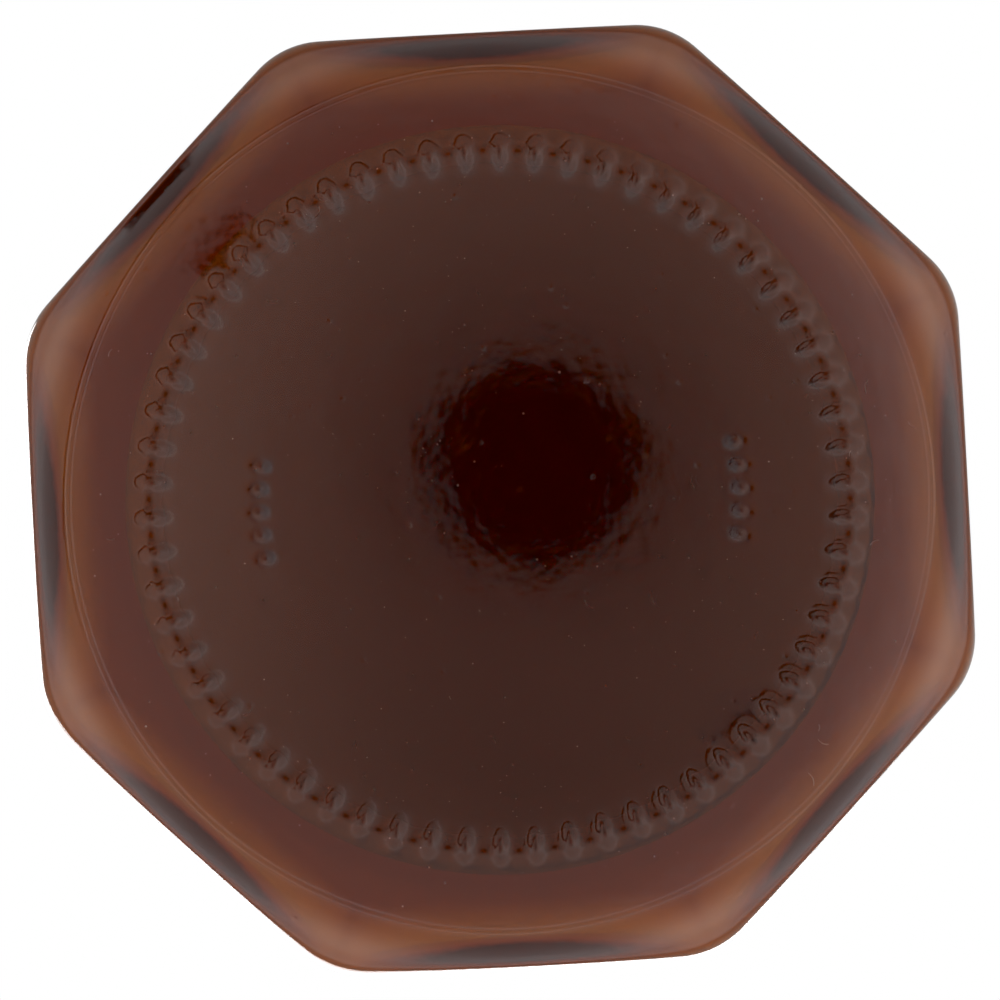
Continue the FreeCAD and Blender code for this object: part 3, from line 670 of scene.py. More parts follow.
def bearing_rib_rule(material):
    """Raises bell-shaped ribs evenly round the bearing ring under the glass, fading at both ends."""
    tree, given = new_rule("bearing_ribs", "Height", "Width", "Middle", "Reach", whole=("Count",))
    place = add(tree, "GeometryNodeInputPosition")
    axes = add(tree, "ShaderNodeSeparateXYZ", {0: place}).outputs
    out = off_axis(tree, place)
    # The bell is one at a crest, and is taken down to nothing in the valley between two ribs
    angle = add(tree, "ShaderNodeMath", {0: axes["Y"], 1: axes["X"]}, operation="ARCTAN2")
    turned = add(tree, "ShaderNodeMath", {0: angle, 1: given["Count"]}, operation="MULTIPLY")
    swell = add(tree, "ShaderNodeMath", {0: turned}, operation="COSINE")
    short_of_crest = add(tree, "ShaderNodeMath", {0: swell, 1: 1.0}, operation="SUBTRACT")
    pitch = add(tree, "ShaderNodeMath", {0: out, 1: given["Count"]}, operation="DIVIDE")
    in_widths = add(tree, "ShaderNodeMath", {0: pitch, 1: given["Width"]}, operation="DIVIDE")
    tightness = add(tree, "ShaderNodeMath", {0: in_widths, 1: 2.0}, operation="POWER")
    fall = add(tree, "ShaderNodeMath", {0: short_of_crest, 1: tightness}, operation="MULTIPLY")
    bell = add(tree, "ShaderNodeMath", {0: fall}, operation="EXPONENT")
    lowest = add(tree, "ShaderNodeMath", {0: tightness, 1: -2.0}, operation="MULTIPLY")
    valley = add(tree, "ShaderNodeMath", {0: lowest}, operation="EXPONENT")
    above_valley = add(tree, "ShaderNodeMapRange", {"Value": bell, "From Min": valley, "From Max": 1.0})
    from_middle = add(tree, "ShaderNodeMath", {0: out, 1: given["Middle"]}, operation="SUBTRACT")
    in_reaches = add(tree, "ShaderNodeMath", {0: from_middle, 1: given["Reach"]}, operation="DIVIDE")
    squared = add(tree, "ShaderNodeMath", {0: in_reaches, 1: in_reaches}, operation="MULTIPLY")
    left = add(tree, "ShaderNodeMath", {0: 1.0, 1: squared}, operation="SUBTRACT")
    within = add(tree, "ShaderNodeMath", {0: left, 1: 0.0}, operation="MAXIMUM")
    ends = add(tree, "ShaderNodeMath", {0: within, 1: within}, operation="MULTIPLY")
    ridge = add(tree, "ShaderNodeMath", {0: above_valley, 1: ends}, operation="MULTIPLY")
    depth = add(tree, "ShaderNodeMath", {0: ridge, 1: given["Height"]}, operation="MULTIPLY")
    down = add(tree, "ShaderNodeMath", {0: depth, 1: -1.0}, operation="MULTIPLY")
    move = add(tree, "ShaderNodeCombineXYZ", {"Z": down})
    under = {0: axes["Z"], 1: UNDERSIDE * MM}
    chosen = add(tree, "FunctionNodeCompare", under, data_type="FLOAT", operation="LESS_THAN")
    moved = {"Geometry": given["Geometry"], "Selection": chosen, "Offset": move}
    return close_rule(tree, add(tree, "GeometryNodeSetPosition", moved), material)


def neck_thread_rule(material):
    """Raises one round-crested thread round the neck finish, fading in and out at its ends."""
    tree, given = new_rule("neck_thread", "Pitch", "Depth", "Foot", "Turns")
    place = add(tree, "GeometryNodeInputPosition")
    axes = add(tree, "ShaderNodeSeparateXYZ", {0: place}).outputs
    level = add(tree, "ShaderNodeVectorMath", {0: place, 1: (1, 1, 0)}, operation="MULTIPLY")
    outward = add(tree, "ShaderNodeVectorMath", {0: level}, operation="NORMALIZE")
    angle = add(tree, "ShaderNodeMath", {0: axes["Y"], 1: axes["X"]}, operation="ARCTAN2")
    share = add(tree, "ShaderNodeMath", {0: angle, 1: FULL_TURN}, operation="DIVIDE")
    above = add(tree, "ShaderNodeMath", {0: axes["Z"], 1: given["Foot"]}, operation="SUBTRACT")
    climbed = add(tree, "ShaderNodeMath", {0: above, 1: given["Pitch"]}, operation="DIVIDE")
    phase = add(tree, "ShaderNodeMath", {0: climbed, 1: share}, operation="SUBTRACT")
    nearest = add(tree, "ShaderNodeMath", {0: phase}, operation="ROUND")
    beside = add(tree, "ShaderNodeMath", {0: phase, 1: nearest}, operation="SUBTRACT")
    turned = add(tree, "ShaderNodeMath", {0: nearest, 1: share}, operation="ADD")
    crest = add(tree, "ShaderNodeMath", {0: beside, 1: THREAD_HALF_WIDTH}, operation="DIVIDE")
    squared = add(tree, "ShaderNodeMath", {0: crest, 1: 2.0}, operation="POWER")
    left = add(tree, "ShaderNodeMath", {0: 1.0, 1: squared}, operation="SUBTRACT")
    hump = add(tree, "ShaderNodeMath", {0: left, 1: 0.0}, operation="MAXIMUM")
    before_end = add(tree, "ShaderNodeMath", {0: given["Turns"], 1: turned}, operation="SUBTRACT")
    fade_in, fade_out = (
        add(tree, "ShaderNodeMapRange", {0: run, "From Max": THREAD_FADE}, interpolation_type="SMOOTHSTEP")
        for run in (turned, before_end)
    )
    length_of_thread = add(tree, "ShaderNodeMath", {0: fade_in, 1: fade_out}, operation="MULTIPLY")
    shape = add(tree, "ShaderNodeMath", {0: hump, 1: length_of_thread}, operation="MULTIPLY")
    rise = add(tree, "ShaderNodeMath", {0: shape, 1: given["Depth"]}, operation="MULTIPLY")
    move = add(tree, "ShaderNodeVectorMath", {0: outward, "Scale": rise}, operation="SCALE")
    limits = ((off_axis(tree, place), FINISH_RADIUS - THREAD_SKIN), (axes["Z"], BAND_TOP))
    more = {"data_type": "FLOAT", "operation": "GREATER_THAN"}
    outer, above_band = (
        add(tree, "FunctionNodeCompare", {0: value, 1: limit * MM}, **more) for value, limit in limits
    )
    finish = add(tree, "FunctionNodeBooleanMath", {0: outer, 1: above_band}, operation="AND")
    moved = {"Geometry": given["Geometry"], "Selection": finish, "Offset": move}
    return close_rule(tree, add(tree, "GeometryNodeSetPosition", moved), material)


def spring_rule(material):
    """Sweeps a round wire along a helix of even pitch."""
    tree, given = new_rule("wound_spring", "Turns", "Radius", "Wire", "Foot", "Top")
    half_wire = add(tree, "ShaderNodeMath", {0: given["Wire"], 1: 0.5}, operation="MULTIPLY")
    low = add(tree, "ShaderNodeMath", {0: given["Foot"], 1: half_wire}, operation="ADD")
    high = add(tree, "ShaderNodeMath", {0: given["Top"], 1: half_wire}, operation="SUBTRACT")
    path = add(tree, "GeometryNodeCurvePrimitiveLine")
    points = add(tree, "GeometryNodeResampleCurve", {"Curve": path, "Count": WIRE_POINTS})
    share = add(tree, "GeometryNodeSplineParameter").outputs["Factor"]
    turned = add(tree, "ShaderNodeMath", {0: share, 1: given["Turns"]}, operation="MULTIPLY")
    angle = add(tree, "ShaderNodeMath", {0: turned, 1: FULL_TURN}, operation="MULTIPLY")
    cosine = add(tree, "ShaderNodeMath", {0: angle}, operation="COSINE")
    sine = add(tree, "ShaderNodeMath", {0: angle}, operation="SINE")
    x = add(tree, "ShaderNodeMath", {0: cosine, 1: given["Radius"]}, operation="MULTIPLY")
    y = add(tree, "ShaderNodeMath", {0: sine, 1: given["Radius"]}, operation="MULTIPLY")
    z = add(tree, "ShaderNodeMapRange", {"Value": share, "To Min": low, "To Max": high})
    helix = add(tree, "ShaderNodeCombineXYZ", {"X": x, "Y": y, "Z": z})
    wound = add(tree, "GeometryNodeSetPosition", {"Geometry": points, "Position": helix})
    section = add(tree, "GeometryNodeCurvePrimitiveCircle", {"Resolution": WIRE_SIDES, "Radius": half_wire})
    wire = add(tree, "GeometryNodeCurveToMesh", {"Curve": wound, "Profile Curve": section, "Fill Caps": True})
    return close_rule(tree, wire, material)


def dust_rule(material):
    """Settles pale grains and short bent fibres on the underside of the base, from the surface given."""
    tree, given = new_rule("settled_dust", "Grains", "Fibres", "Grain size", "Fibre length")
    place = add(tree, "GeometryNodeInputPosition")
    height = add(tree, "ShaderNodeSeparateXYZ", {0: place}).outputs["Z"]
    limits = ((height, UNDERSIDE), (off_axis(tree, place), DUST_REACH))
    less = {"data_type": "FLOAT", "operation": "LESS_THAN"}
    under, within = (
        add(tree, "FunctionNodeCompare", {0: value, 1: limit * MM}, **less) for value, limit in limits
    )
    base = add(tree, "FunctionNodeBooleanMath", {0: under, 1: within}, operation="AND")
    surface = {"Mesh": given["Geometry"], "Selection": base}
    grain_spots, fibre_spots = (
        add(tree, "GeometryNodeDistributePointsOnFaces", {**surface, "Density": given[kind], "Seed": seed})
        for kind, seed in (("Grains", 4), ("Fibres", 11))
    )
    ball = add(tree, "GeometryNodeMeshIcoSphere", {"Radius": 0.5, "Subdivisions": 1})
    chance = add(tree, "FunctionNodeRandomValue", {"Seed": 7}, data_type="FLOAT")
    mostly_small = add(tree, "ShaderNodeMath", {0: chance, 1: 3.0}, operation="POWER")
    least, most = GRAIN_SPREAD
    spread = add(tree, "ShaderNodeMapRange", {"Value": mostly_small, "To Min": least, "To Max": most})
    size = add(tree, "ShaderNodeMath", {0: spread, 1: given["Grain size"]}, operation="MULTIPLY")
    strewn = {"Points": grain_spots, "Instance": ball, "Scale": size}
    grains = add(tree, "GeometryNodeInstanceOnPoints", strewn)
    bow = {"Resolution": 5, "Start": (-0.5, 0, 0), "Middle": (0, 0.35, 0), "End": (0.5, 0.05, 0)}
    bend = add(tree, "GeometryNodeCurveQuadraticBezier", bow)
    section = add(tree, "GeometryNodeCurvePrimitiveCircle", {"Resolution": 4, "Radius": 0.035})
    fibre = add(tree, "GeometryNodeCurveToMesh", {"Curve": bend, "Profile Curve": section, "Fill Caps": True})
    turn = add(tree, "FunctionNodeRandomValue", {"Min": 0.0, "Max": FULL_TURN, "Seed": 3}, data_type="FLOAT")
    spun = add(tree, "ShaderNodeCombineXYZ", {"Z": turn})
    lying = {"Rotation": fibre_spots.outputs["Rotation"], "Rotate By": spun}
    lie = add(tree, "FunctionNodeRotateRotation", lying, rotation_space="LOCAL")
    shortest, longest = FIBRE_SPREAD
    drawn = {"Min": shortest, "Max": longest, "Seed": 9}
    chosen = add(tree, "FunctionNodeRandomValue", drawn, data_type="FLOAT")
    scale = add(tree, "ShaderNodeMath", {0: chosen, 1: given["Fibre length"]}, operation="MULTIPLY")
    laid = {"Points": fibre_spots, "Instance": fibre, "Rotation": lie, "Scale": scale}
    fibres = add(tree, "GeometryNodeInstanceOnPoints", laid)
    both = add(tree, "GeometryNodeJoinGeometry", {0: grains})
    tree.links.new(fibres.outputs[0], both.inputs[0])
    return close_rule(tree, both, material)


# Pieces

def base_dots(row):
    """Height of the plain raised dots, two short curved rows of them, at each point of a row."""
    height = np.zeros(len(row))
    for side in (0.0, math.pi):
        for k in range(DOTS_IN_ROW):
            angle = side + (k - (DOTS_IN_ROW - 1) / 2) * DOT_STEP
            away = np.hypot(row[:, 0] - DOT_RING * math.cos(angle), row[:, 1] - DOT_RING * math.sin(angle))
            height += DOT_HEIGHT * np.maximum(1 - (away / DOT_RADIUS) ** 2, 0)
    return height


def base_steps(row):
    """Rise, at each point of a row, at the bearing ring's outer wall and at the mould's joint lines."""
    out = np.hypot(row[:, 0], row[:, 1])
    rise = np.zeros(len(row))
    for place, width, step in (RING_WALL, *SEAMS):
        share = np.clip((out - place) / width + 0.5, 0, 1)
        rise += step * share ** 2 * (3 - 2 * share)
    return rise


def base_rows(sizes, section):
    """Rows of the glass from the base's centre out to the top of the heel, and the height of that top."""
    push_up = sizes.push_up / MM
    bead_centre = (BEAD_CREST[0], BEAD_CREST[1] + BEAD_ROUND)
    start = -math.acos((DOME_RIM - bead_centre[0]) / BEAD_ROUND)
    end = -math.acos((BEAD_OUT - bead_centre[0]) / BEAD_ROUND)
    dome_rim = (DOME_RIM, bead_centre[1] + BEAD_ROUND * math.sin(start))
    bead_end = (BEAD_OUT, bead_centre[1] + BEAD_ROUND * math.sin(end))
    first_slope = -1 / math.tan(end)
    land_width = LAND_END[0] - bead_end[0]
    bend = (LAND_END[1] - bead_end[1] - first_slope * land_width) / land_width ** 2
    slope = math.atan(first_slope + 2 * bend * land_width)
    heel = (TURNED_RADIUS - LAND_END[0]) / (1 - math.sin(slope))
    heel_centre = (TURNED_RADIUS - heel, LAND_END[1] + heel * math.cos(slope))

    # The dome, with fewer rows where it is plain
    dome = cap(push_up, dome_rim, step=0.36)
    ribs_from = sizes.rib_middle / MM - RIB_ZONE
    inner = [point for point in dome if point[0] < DOT_RING - DOT_ROOM]
    dotted = [point for point in dome if abs(point[0] - DOT_RING) <= DOT_ROOM]
    outer = [point for point in dome if DOT_RING + DOT_ROOM < point[0] < ribs_from]
    rows = ring_rows(inner[::3], BODY_SPOKES, *section)
    rows += ring_rows(dotted, HEEL_SPOKES, *section)
    rows += ring_rows(outer[:-1:2], BODY_SPOKES, *section)
    rows += ring_rows(outer[-1:], HEEL_SPOKES, *section)

    # The bearing ring, whose spokes gather at the ribs, and the land outside it
    ring = [point for point in cap(push_up, dome_rim, step=0.19) if point[0] > ribs_from]
    ring += arc(bead_centre, BEAD_ROUND, start, end, BEAD_STEP)
    wall_end = BEAD_OUT + 2 * BEAD_STEP
    near = BEAD_OUT + NEAR_LAND
    far = SEAMS[0][0] - SEAMS[0][1]
    stretches = (
        (BEAD_OUT, wall_end, BEAD_STEP),
        (wall_end, near, NEAR_STEP),
        (near, far, LAND_STEP),
        (far, LAND_END[0], SEAM_STEP),
    )
    steps = np.concatenate([np.arange(*stretch) for stretch in stretches])[1:]
    hollow = [(r, bead_end[1] + first_slope * (r - BEAD_OUT) + bend * (r - BEAD_OUT) ** 2) for r in steps]
    for point in ring + [point for point in hollow if point[0] < near]:
        share = np.clip((RIB_ZONE - abs(point[0] - sizes.rib_middle / MM)) / RIB_ZONE_FADE, 0, 1)
        rows += ring_rows([point], RIB_SPOKES, *section, sizes.rib_count, RIB_GATHER * share)
    heel_start = slope - math.pi / 2
    past_seam = heel_start + 2 * SEAMS[1][1] / heel
    land = [point for point in hollow if point[0] >= near]
    land += arc(heel_centre, heel, heel_start, past_seam, SEAM_STEP)
    land += arc(heel_centre, heel, past_seam, 0.0, step=0.5)
    rows += ring_rows(land, HEEL_SPOKES, *section)
    for row in rows:
        row[:, 2] += base_steps(row) - base_dots(row)
    return rows, heel_centre[1]


def outside_rows(sizes):
    """Rows of the glass from the base's centre, round the heel and up to the rim."""
    section = (sizes.across_flats / 2 / MM, sizes.edge_radius / MM, SCALLOP_BLEND)
    rows, heel_top = base_rows(sizes, section)
    body = line((PLAIN_OCTAGON, heel_top), (PLAIN_OCTAGON, OCTAGON_TOP), step=12.0)
    body += line((TURNED_RADIUS, TURNED_FROM), (TURNED_RADIUS, SHOULDER_Z), step=1.0)
    body += arc(SHOULDER_CENTRE, SHOULDER_RADIUS, 0, BLEND_ANGLE, step=0.9)
    rows += ring_rows(body, BODY_SPOKES, *section)
    band_corner = (NECK_RADIUS - BAND_ROUND, BAND_TOP - BAND_ROUND)
    fillet_foot = (FINISH_RADIUS + FINISH_FILLET, BAND_TOP)
    fillet = (fillet_foot[0], BAND_TOP + FINISH_FILLET)
    lip = (FINISH_RADIUS - LIP_ROUND, RIM_Z - LIP_ROUND)
    neck = arc(FILLET_CENTRE, NECK_FILLET, math.pi + BLEND_ANGLE, math.pi, step=0.5)
    neck += line(neck[-1], (NECK_RADIUS, band_corner[1]), step=0.6)
    neck += arc(band_corner, BAND_ROUND, 0, math.pi / 2, step=0.2)
    neck += line(neck[-1], fillet_foot, step=0.5)
    neck += arc(fillet, FINISH_FILLET, -math.pi / 2, -math.pi, step=0.2)
    neck += line(neck[-1], (FINISH_RADIUS, lip[1]), step=0.26)
    neck += arc(lip, LIP_ROUND, 0, math.pi / 2, step=0.25)
    return rows + ring_rows(neck, PLAIN_SPOKES, *section)


def inside_section(sizes, contact):
    """The hollow's octagon: its half width, the round of its edges, and their blend."""
    apothem = (sizes.across_flats / 2 - sizes.wall) / MM + contact
    return apothem, (sizes.edge_radius - sizes.wall / 2) / MM, INNER_BLEND


def inside_profile(sizes, base_gap, wall_contact):
    """Profile of the hollow's base and heel, above the glass at the centre and into it at the heel."""
    pole = sizes.push_up / MM + BASE_THICKNESS
    turned = TURNED_RADIUS - sizes.wall / MM
    heel_centre = (turned - INNER_HEEL, pole - BASE_DROP + INNER_HEEL)
    plain = cap(pole, (heel_centre[0], pole - BASE_DROP), step=1.2)
    near = [(r / heel_centre[0]) ** CLOSING for r, z in plain]
    base = [(r, z + base_gap * (1 - n) - wall_contact * n) for (r, z), n in zip(plain, near)]
    heel = arc(heel_centre, INNER_HEEL + wall_contact, -math.pi / 2, 0.0, step=0.5)
    return pole + base_gap, base, heel


def glass_bottle(sizes):
    """The whole glass as one closed shell: outside from the base to the rim, then the hollow back down."""
    wall = sizes.wall / MM
    rows = outside_rows(sizes)
    section = inside_section(sizes, 0.0)
    pole, base, heel = inside_profile(sizes, 0.0, 0.0)
    bore_edge = (BORE_RADIUS + BORE_ROUND, RIM_Z - BORE_ROUND)
    down = line((FINISH_RADIUS - LIP_ROUND, RIM_Z), (bore_edge[0], RIM_Z), step=1.0)
    down += arc(bore_edge, BORE_ROUND, math.pi / 2, math.pi, step=0.3)
    down += line(down[-1], (BORE_RADIUS, NECK_Z + BORE_FLARE[1]), step=2.0)
    down += line(down[-1], (BORE_RADIUS + BORE_FLARE[0], NECK_Z), step=1.0)
    down += arc(FILLET_CENTRE, NECK_FILLET + wall, math.pi, math.pi + BLEND_ANGLE, step=0.9)
    rows += ring_rows(down, PLAIN_SPOKES, *section)
    side = arc(SHOULDER_CENTRE, SHOULDER_RADIUS - wall, BLEND_ANGLE, 0, step=1.2)
    side += line((PLAIN_OCTAGON, INNER_OCTAGON_TOP), (PLAIN_OCTAGON, heel[-1][1] + HEEL_CLEAR), step=14.0)
    side += heel[::-1]
    rows += ring_rows(side, BODY_SPOKES, *section)
    rows += ring_rows(base[::-1], PLAIN_SPOKES, *section)
    return skin("glass_bottle", sizes.push_up / MM, rows, pole)


def contents(sizes):
    """The liquid up to its fill line, with room for the dip tube and the pump's tail."""
    section = inside_section(sizes, WALL_CONTACT)
    apothem, edge_radius, blend = section
    pole, base, heel = inside_profile(sizes, BASE_GAP, WALL_CONTACT)
    side = heel + line((PLAIN_OCTAGON, heel[-1][1] + HEEL_CLEAR), (PLAIN_OCTAGON, FILL_Z), step=12.0)
    climb = [(apothem - inward, FILL_Z - down) for inward, down in MENISCUS]
    rows = ring_rows(base, PLAIN_SPOKES, *section)
    rows += ring_rows(side, BODY_SPOKES, *section)
    rows += ring_rows(climb, BODY_SPOKES, apothem + PAST_CORNERS, edge_radius, blend)
    level = climb[-1][1]
    room = line(climb[-1], (TAIL_ROOM, level), step=6.0)
    room += line((TAIL_ROOM, level), (TAIL_ROOM, TAIL_ROOM_Z), step=6.0)
    room += line((TAIL_ROOM, TAIL_ROOM_Z), (TUBE_ROOM, TAIL_ROOM_Z), step=2.0)
    room += line((TUBE_ROOM, TAIL_ROOM_Z), (TUBE_ROOM, TUBE_ROOM_Z), step=20.0)
    rows += ring_rows(room, PLAIN_SPOKES, *section)
    liquid = skin("contents", pole, rows, TUBE_ROOM_Z)
    # Faces where the liquid wets the glass take the lit copy of its material; both copies carry painted light
    for face in liquid.data.polygons:
        away = math.hypot(face.center.x, face.center.y)
        deep = away < WET_FROM * MM and face.center.z < (pole + WET_ABOVE) * MM
        face.material_index = 0 if deep else 1
    return liquid


def dress(material, *nodes):
    """Gives carried-over nodes a material."""
    for name in nodes:
        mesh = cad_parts[name].data
        mesh.materials.clear()
        mesh.materials.append(material)


class DISPENSER_OT_bottle(bpy.types.Operator):
    """Makes the moulded glass with its bearing ribs and neck thread."""

    bl_idname = "dispenser.bottle"
    bl_label = "Glass bottle"

    def execute(self, context):
        sizes = context.scene.bottle_sizes
        material = amber_glass(sizes)
        bottle = glass_bottle(sizes)
        ribs = {
            "Count": sizes.rib_count,
            "Height": sizes.rib_height,
            "Width": sizes.rib_width,
            "Middle": sizes.rib_middle,
            "Reach": sizes.rib_reach,
        }
        grown(bottle, bearing_rib_rule(material), ribs)
        thread = {
            "Pitch": sizes.thread_pitch,
            "Depth": sizes.thread_depth,
            "Foot": (BAND_TOP + THREAD_FOOT) * MM,
            "Turns": sizes.thread_turns,
        }
        grown(bottle, neck_thread_rule(material), thread)
        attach(bottle, "bottle")
        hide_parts("bottle")
        return {"FINISHED"}


class DISPENSER_OT_dust(bpy.types.Operator):
    """Settles a little dust on the underside of the glass."""

    bl_idname = "dispenser.dust"
    bl_label = "Dust on the base"

    def execute(self, context):
        sizes = context.scene.bottle_sizes
        dust = linked("settled_dust", bpy.data.objects["glass_bottle"].data.copy())
        values = {
            "Grains": sizes.dust_grains,
            "Fibres": sizes.dust_fibres,
            "Grain size": sizes.grain_size,
            "Fibre length": sizes.fibre_length,
        }
        grown(dust, dust_rule(settled_dust()), values)
        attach(dust, "bottle")
        return {"FINISHED"}


class DISPENSER_OT_contents(bpy.types.Operator):
    """Fills the bottle with its dark liquid."""

    bl_idname = "dispenser.contents"
    bl_label = "Contents"

    def execute(self, context):
        sizes = context.scene.bottle_sizes
        liquid = contents(sizes)
        liquid.data.materials.append(deep_contents(sizes))
        liquid.data.materials.append(lit_contents(sizes))
        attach(liquid, "bottle")
        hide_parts("liquid_fill")
        return {"FINISHED"}


class DISPENSER_OT_mouldings(bpy.types.Operator):
    """Finishes the pump's black outer mouldings."""

    bl_idname = "dispenser.mouldings"
    bl_label = "Closure, guide ring and pump head"

    def execute(self, context):
        dress(satin_black(context.scene.pump_sizes), "closure", "guide_ring", "pump_head")
        return {"FINISHED"}


class DISPENSER_OT_inner(bpy.types.Operator):
    """Finishes the pump's unpigmented inner mouldings and its gasket."""

    bl_idname = "dispenser.inner"
    bl_label = "Inner mouldings and gasket"

    def execute(self, context):
        milky = natural_plastic(context.scene.pump_sizes)
        dress(milky, "pump_housing", "stem", "piston", "stem_plug", "dip_tube")
        dress(foam_gasket(), "neck_gasket")
        return {"FINISHED"}


class DISPENSER_OT_spring(bpy.types.Operator):
    """Winds the return spring."""

    bl_idname = "dispenser.spring"
    bl_label = "Return spring"

    def execute(self, context):
        sizes = context.scene.pump_sizes
        low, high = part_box("return_spring")
        spring = linked("wound_spring", bpy.data.meshes.new("wound_spring"))
        values = {
            "Turns": sizes.spring_turns,
            "Radius": sizes.spring_radius,
            "Wire": sizes.wire,
            "Foot": low[2],
            "Top": high[2],
        }
        grown(spring, spring_rule(drawn_wire()), values)
        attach(spring, "pump_unit")
        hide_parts("return_spring")
        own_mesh(spring)
        return {"FINISHED"}


class DISPENSER_OT_balls(bpy.types.Operator):
    """Finishes the two check balls."""

    bl_idname = "dispenser.balls"
    bl_label = "Check balls"

    def execute(self, context):
        dress(polished_steel(), "inlet_ball", "outlet_ball")
        return {"FINISHED"}


def tent_world(right, up):
    """A plain white tent: white to the camera, dark at the opening below that it looks through.

    One narrow arm and an arc on the arm's side are dark as well, as the glass mirrors them.
    """
    world = bpy.data.worlds.new("white_tent")
    bpy.context.scene.world = world
    world.use_nodes = True
    tree = world.node_tree
    tree.nodes.clear()
    way = add(tree, "ShaderNodeTexCoord").outputs["Generated"]
    hole_way = (Vector((0, 0, -1)) + OPENING[0] * right + OPENING[1] * up).normalized()
    arm_way = math.cos(ARM_TURN) * right + math.sin(ARM_TURN) * up
    arm_side = arm_way.cross(Vector((0, 0, 1)))

    # Brightness by the angle from the opening
    towards = add(tree, "ShaderNodeVectorMath", {0: way, 1: hole_way}, operation="DOT_PRODUCT")
    angle = add(tree, "ShaderNodeMath", {0: towards}, operation="ARCCOSINE")
    share = add(tree, "ShaderNodeMath", {0: angle, 1: math.pi}, operation="DIVIDE")
    wall, clear, brow = (add(tree, "ShaderNodeValToRGB", {0: share}) for _ in range(3))
    stops(wall, *by_degrees(TENT, TENT_PEAK))
    stops(clear, *by_degrees(ARM))
    stops(brow, *by_degrees(BROW))

    # Gain to the sides, to the right and upwards, past the opening's edge
    level = add(tree, "ShaderNodeVectorMath", {0: way, 1: (1, 1, 0)}, operation="MULTIPLY")
    compass = add(tree, "ShaderNodeVectorMath", {0: level}, operation="NORMALIZE")
    rightward, upward, facing = (
        add(tree, "ShaderNodeVectorMath", {0: compass, 1: axis}, operation="DOT_PRODUCT")
        for axis in (right, up, arm_way)
    )
    squared = add(tree, "ShaderNodeMath", {0: rightward, 1: 2.0}, operation="POWER")
    sides = add(tree, "ShaderNodeMapRange", {"Value": squared, "To Min": TENT_ENDS, "To Max": TENT_SIDES})
    lean = sides
    for way_there, gain in ((rightward, GAIN_RIGHT), (upward, GAIN_UP)):
        lean = add(tree, "ShaderNodeMath", {0: way_there, 1: gain, 2: lean}, operation="MULTIPLY_ADD")
    edge = {"From Min": OPENING_EDGE[0] / 180, "From Max": OPENING_EDGE[1] / 180}
    past_hole = add(tree, "ShaderNodeMapRange", {"Value": share, **edge})
    shaped = add(tree, "ShaderNodeMix", {"Factor": past_hole, "A": 1.0, "B": lean})

    # The dark arm and the dark arc on its side
    across = add(tree, "ShaderNodeVectorMath", {0: way, 1: arm_side}, operation="DOT_PRODUCT")
    along = add(tree, "ShaderNodeVectorMath", {0: way, 1: arm_way}, operation="DOT_PRODUCT")
    sideways = add(tree, "ShaderNodeMath", {0: across, 1: along}, operation="ARCTAN2")
    aside = add(tree, "ShaderNodeMath", {0: sideways}, operation="ABSOLUTE")
    arm_edge = {"From Min": math.radians(ARM_HALF_WIDTH[0]), "From Max": math.radians(ARM_HALF_WIDTH[1])}
    beside = add(tree, "ShaderNodeMapRange", {"Value": aside, **arm_edge})
    open_way = add(tree, "ShaderNodeMath", {0: beside, 1: clear}, operation="MAXIMUM")
    brow_edge = {"From Min": BROW_FACING[0], "From Max": BROW_FACING[1], "To Min": 1.0, "To Max": 0.0}
    turned_off = add(tree, "ShaderNodeMapRange", {"Value": facing, **brow_edge})
    under_brow = add(tree, "ShaderNodeMath", {0: turned_off, 1: brow}, operation="MAXIMUM")
    unshaded = add(tree, "ShaderNodeMath", {0: open_way, 1: under_brow}, operation="MULTIPLY")

    bright = add(tree, "ShaderNodeMath", {0: unshaded, 1: shaped}, operation="MULTIPLY")
    strength = add(tree, "ShaderNodeMath", {0: bright, 1: TENT_PEAK}, operation="MULTIPLY")
    rays = add(tree, "ShaderNodeLightPath").outputs
    seen = add(tree, "ShaderNodeBackground", {"Color": (1, 1, 1, 1), "Strength": 1.0})
    lit = add(tree, "ShaderNodeBackground", {"Color": wall, "Strength": strength})
    both = add(tree, "ShaderNodeMixShader", {0: rays["Is Camera Ray"], 1: lit, 2: seen})
    add(tree, "ShaderNodeOutputWorld", {"Surface": both})


def white_card(stage):
    """Matt white card. Seen from below or by a reflection it is clear, so the tent shows through it."""
    material, tree, place = new_material("card_white_matt")
    grain = add(tree, "ShaderNodeTexNoise", {"Vector": place, "Scale": per(CARD_GRAIN), "Detail": 2.0})
    whites = {"Factor": grain, "A": linear("#F6F6F5"), "B": linear("#F9F9F8")}
    card = add(tree, "ShaderNodeBsdfDiffuse", {"Color": add(tree, "ShaderNodeMix", whites, data_type="RGBA")})
    clear = add(tree, "ShaderNodeBsdfTransparent")
    rays = add(tree, "ShaderNodeLightPath").outputs
    below = add(tree, "ShaderNodeNewGeometry").outputs["Backfacing"]
    out = add(tree, "ShaderNodeVectorMath", {0: place}, operation="LENGTH")
    rim = {"From Min": FLOOR_FADE_FROM * stage.floor, "From Max": stage.floor}
    fade = add(tree, "ShaderNodeMapRange", {"Value": out, **rim}, interpolation_type="SMOOTHSTEP")
    by_glass = {0: rays["Is Glossy Ray"], 1: rays["Is Transmission Ray"]}
    mirrored = add(tree, "ShaderNodeMath", by_glass, operation="MAXIMUM")
    unseen = add(tree, "ShaderNodeMath", {0: mirrored, 1: below}, operation="MAXIMUM")
    gone = add(tree, "ShaderNodeMath", {0: unseen, 1: fade}, operation="MAXIMUM")
    return close_material(material, Surface=add(tree, "ShaderNodeMixShader", {0: gone, 1: card, 2: clear}))


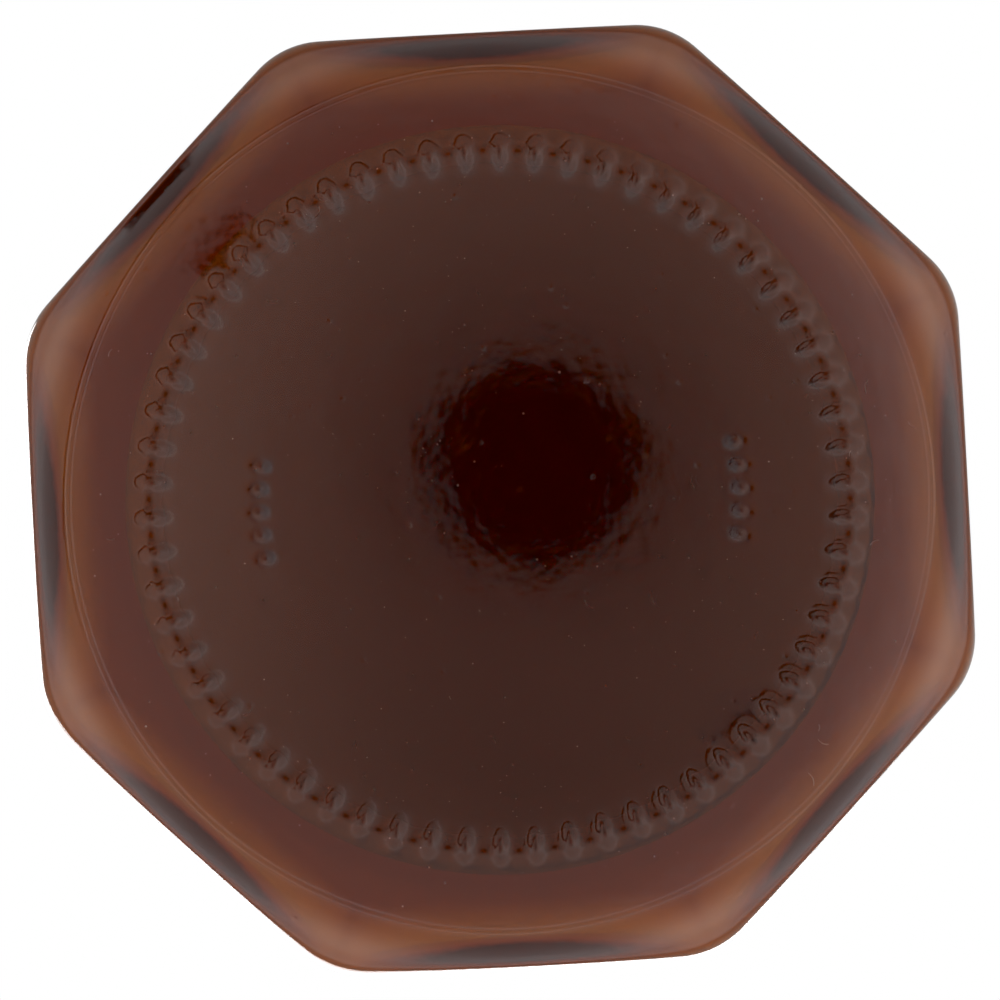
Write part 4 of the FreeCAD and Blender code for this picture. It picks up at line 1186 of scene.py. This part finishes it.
def card_floor(stage):
    """A round of card just under the bottle."""
    mesh = bpy.data.meshes.new("floor")
    turns = [FULL_TURN * k / FLOOR_SPOKES for k in range(FLOOR_SPOKES)]
    rim = [(stage.floor * math.cos(turn), stage.floor * math.sin(turn), -FLOOR_DROP * MM) for turn in turns]
    mesh.from_pydata(rim, [], [range(FLOOR_SPOKES)])
    mesh.materials.append(white_card(stage))
    return linked("floor", mesh)


def soft_lamp(stage):
    """One wide soft lamp overhead and a little to the front, for the sides, the top and the shadow."""
    light = bpy.data.lights.new("overhead", "AREA")
    light.size = stage.lamp_size
    light.energy = stage.lamp_power
    lamp = linked("overhead", light)
    lamp.location = LAMP_PLACE
    lamp.rotation_euler = Vector(LAMP_PLACE).to_track_quat("Z", "Y").to_euler()
    lamp.visible_transmission = False


def base_camera(stage, right, up):
    """A camera far below the base, looking straight up at it."""
    lens = bpy.data.cameras.new("camera")
    lens.sensor_width = SENSOR_WIDTH
    lens.lens = SENSOR_WIDTH * stage.distance / stage.picture
    camera = linked("camera", lens)
    axes = Matrix((right, up, (0, 0, -1))).transposed()
    camera.matrix_world = Matrix.Translation((0, 0, -stage.distance)) @ axes.to_4x4()
    bpy.context.scene.camera = camera


class DISPENSER_OT_stage(bpy.types.Operator):
    """Sets the floor, the light and the camera that looks up at the base."""

    bl_idname = "dispenser.stage"
    bl_label = "Stage"

    def execute(self, context):
        stage = context.scene.stage_sizes
        right = Vector((-math.cos(stage.roll), -math.sin(stage.roll), 0))
        up = Vector((-math.sin(stage.roll), math.cos(stage.roll), 0))
        base_camera(stage, right, up)
        tent_world(right, up)
        floor = card_floor(stage)
        soft_lamp(stage)
        context.scene.view_settings.view_transform = "Standard"
        return {"FINISHED"}


OPERATORS = (
    DISPENSER_OT_bottle,
    DISPENSER_OT_dust,
    DISPENSER_OT_contents,
    DISPENSER_OT_mouldings,
    DISPENSER_OT_inner,
    DISPENSER_OT_spring,
    DISPENSER_OT_balls,
    DISPENSER_OT_stage,
)


class DISPENSER_PT_panel(bpy.types.Panel):
    """Lists the steps that dress the bottle."""

    bl_idname = "DISPENSER_PT_panel"
    bl_label = "Pump bottle"
    bl_space_type = "VIEW_3D"
    bl_region_type = "UI"
    bl_category = "Pump bottle"

    def draw(self, context):
        for operator in OPERATORS:
            self.layout.operator(operator.bl_idname)


CLASSES = (BottleSizes, PumpSizes, StageSizes) + OPERATORS + (DISPENSER_PT_panel,)


def register():
    """Registers the classes and hangs the sizes on the scene."""
    for one in CLASSES:
        bpy.utils.register_class(one)
    bpy.types.Scene.bottle_sizes = PointerProperty(type=BottleSizes)
    bpy.types.Scene.pump_sizes = PointerProperty(type=PumpSizes)
    bpy.types.Scene.stage_sizes = PointerProperty(type=StageSizes)


def unregister():
    """Takes the sizes and the classes away again."""
    del bpy.types.Scene.stage_sizes
    del bpy.types.Scene.pump_sizes
    del bpy.types.Scene.bottle_sizes
    for one in reversed(CLASSES):
        bpy.utils.unregister_class(one)


def main():
    """Dresses the frame piece by piece."""
    register()
    for operator in OPERATORS:
        family, name = operator.bl_idname.split(".")
        getattr(getattr(bpy.ops, family), name)()


if __name__ == "__main__":
    main()
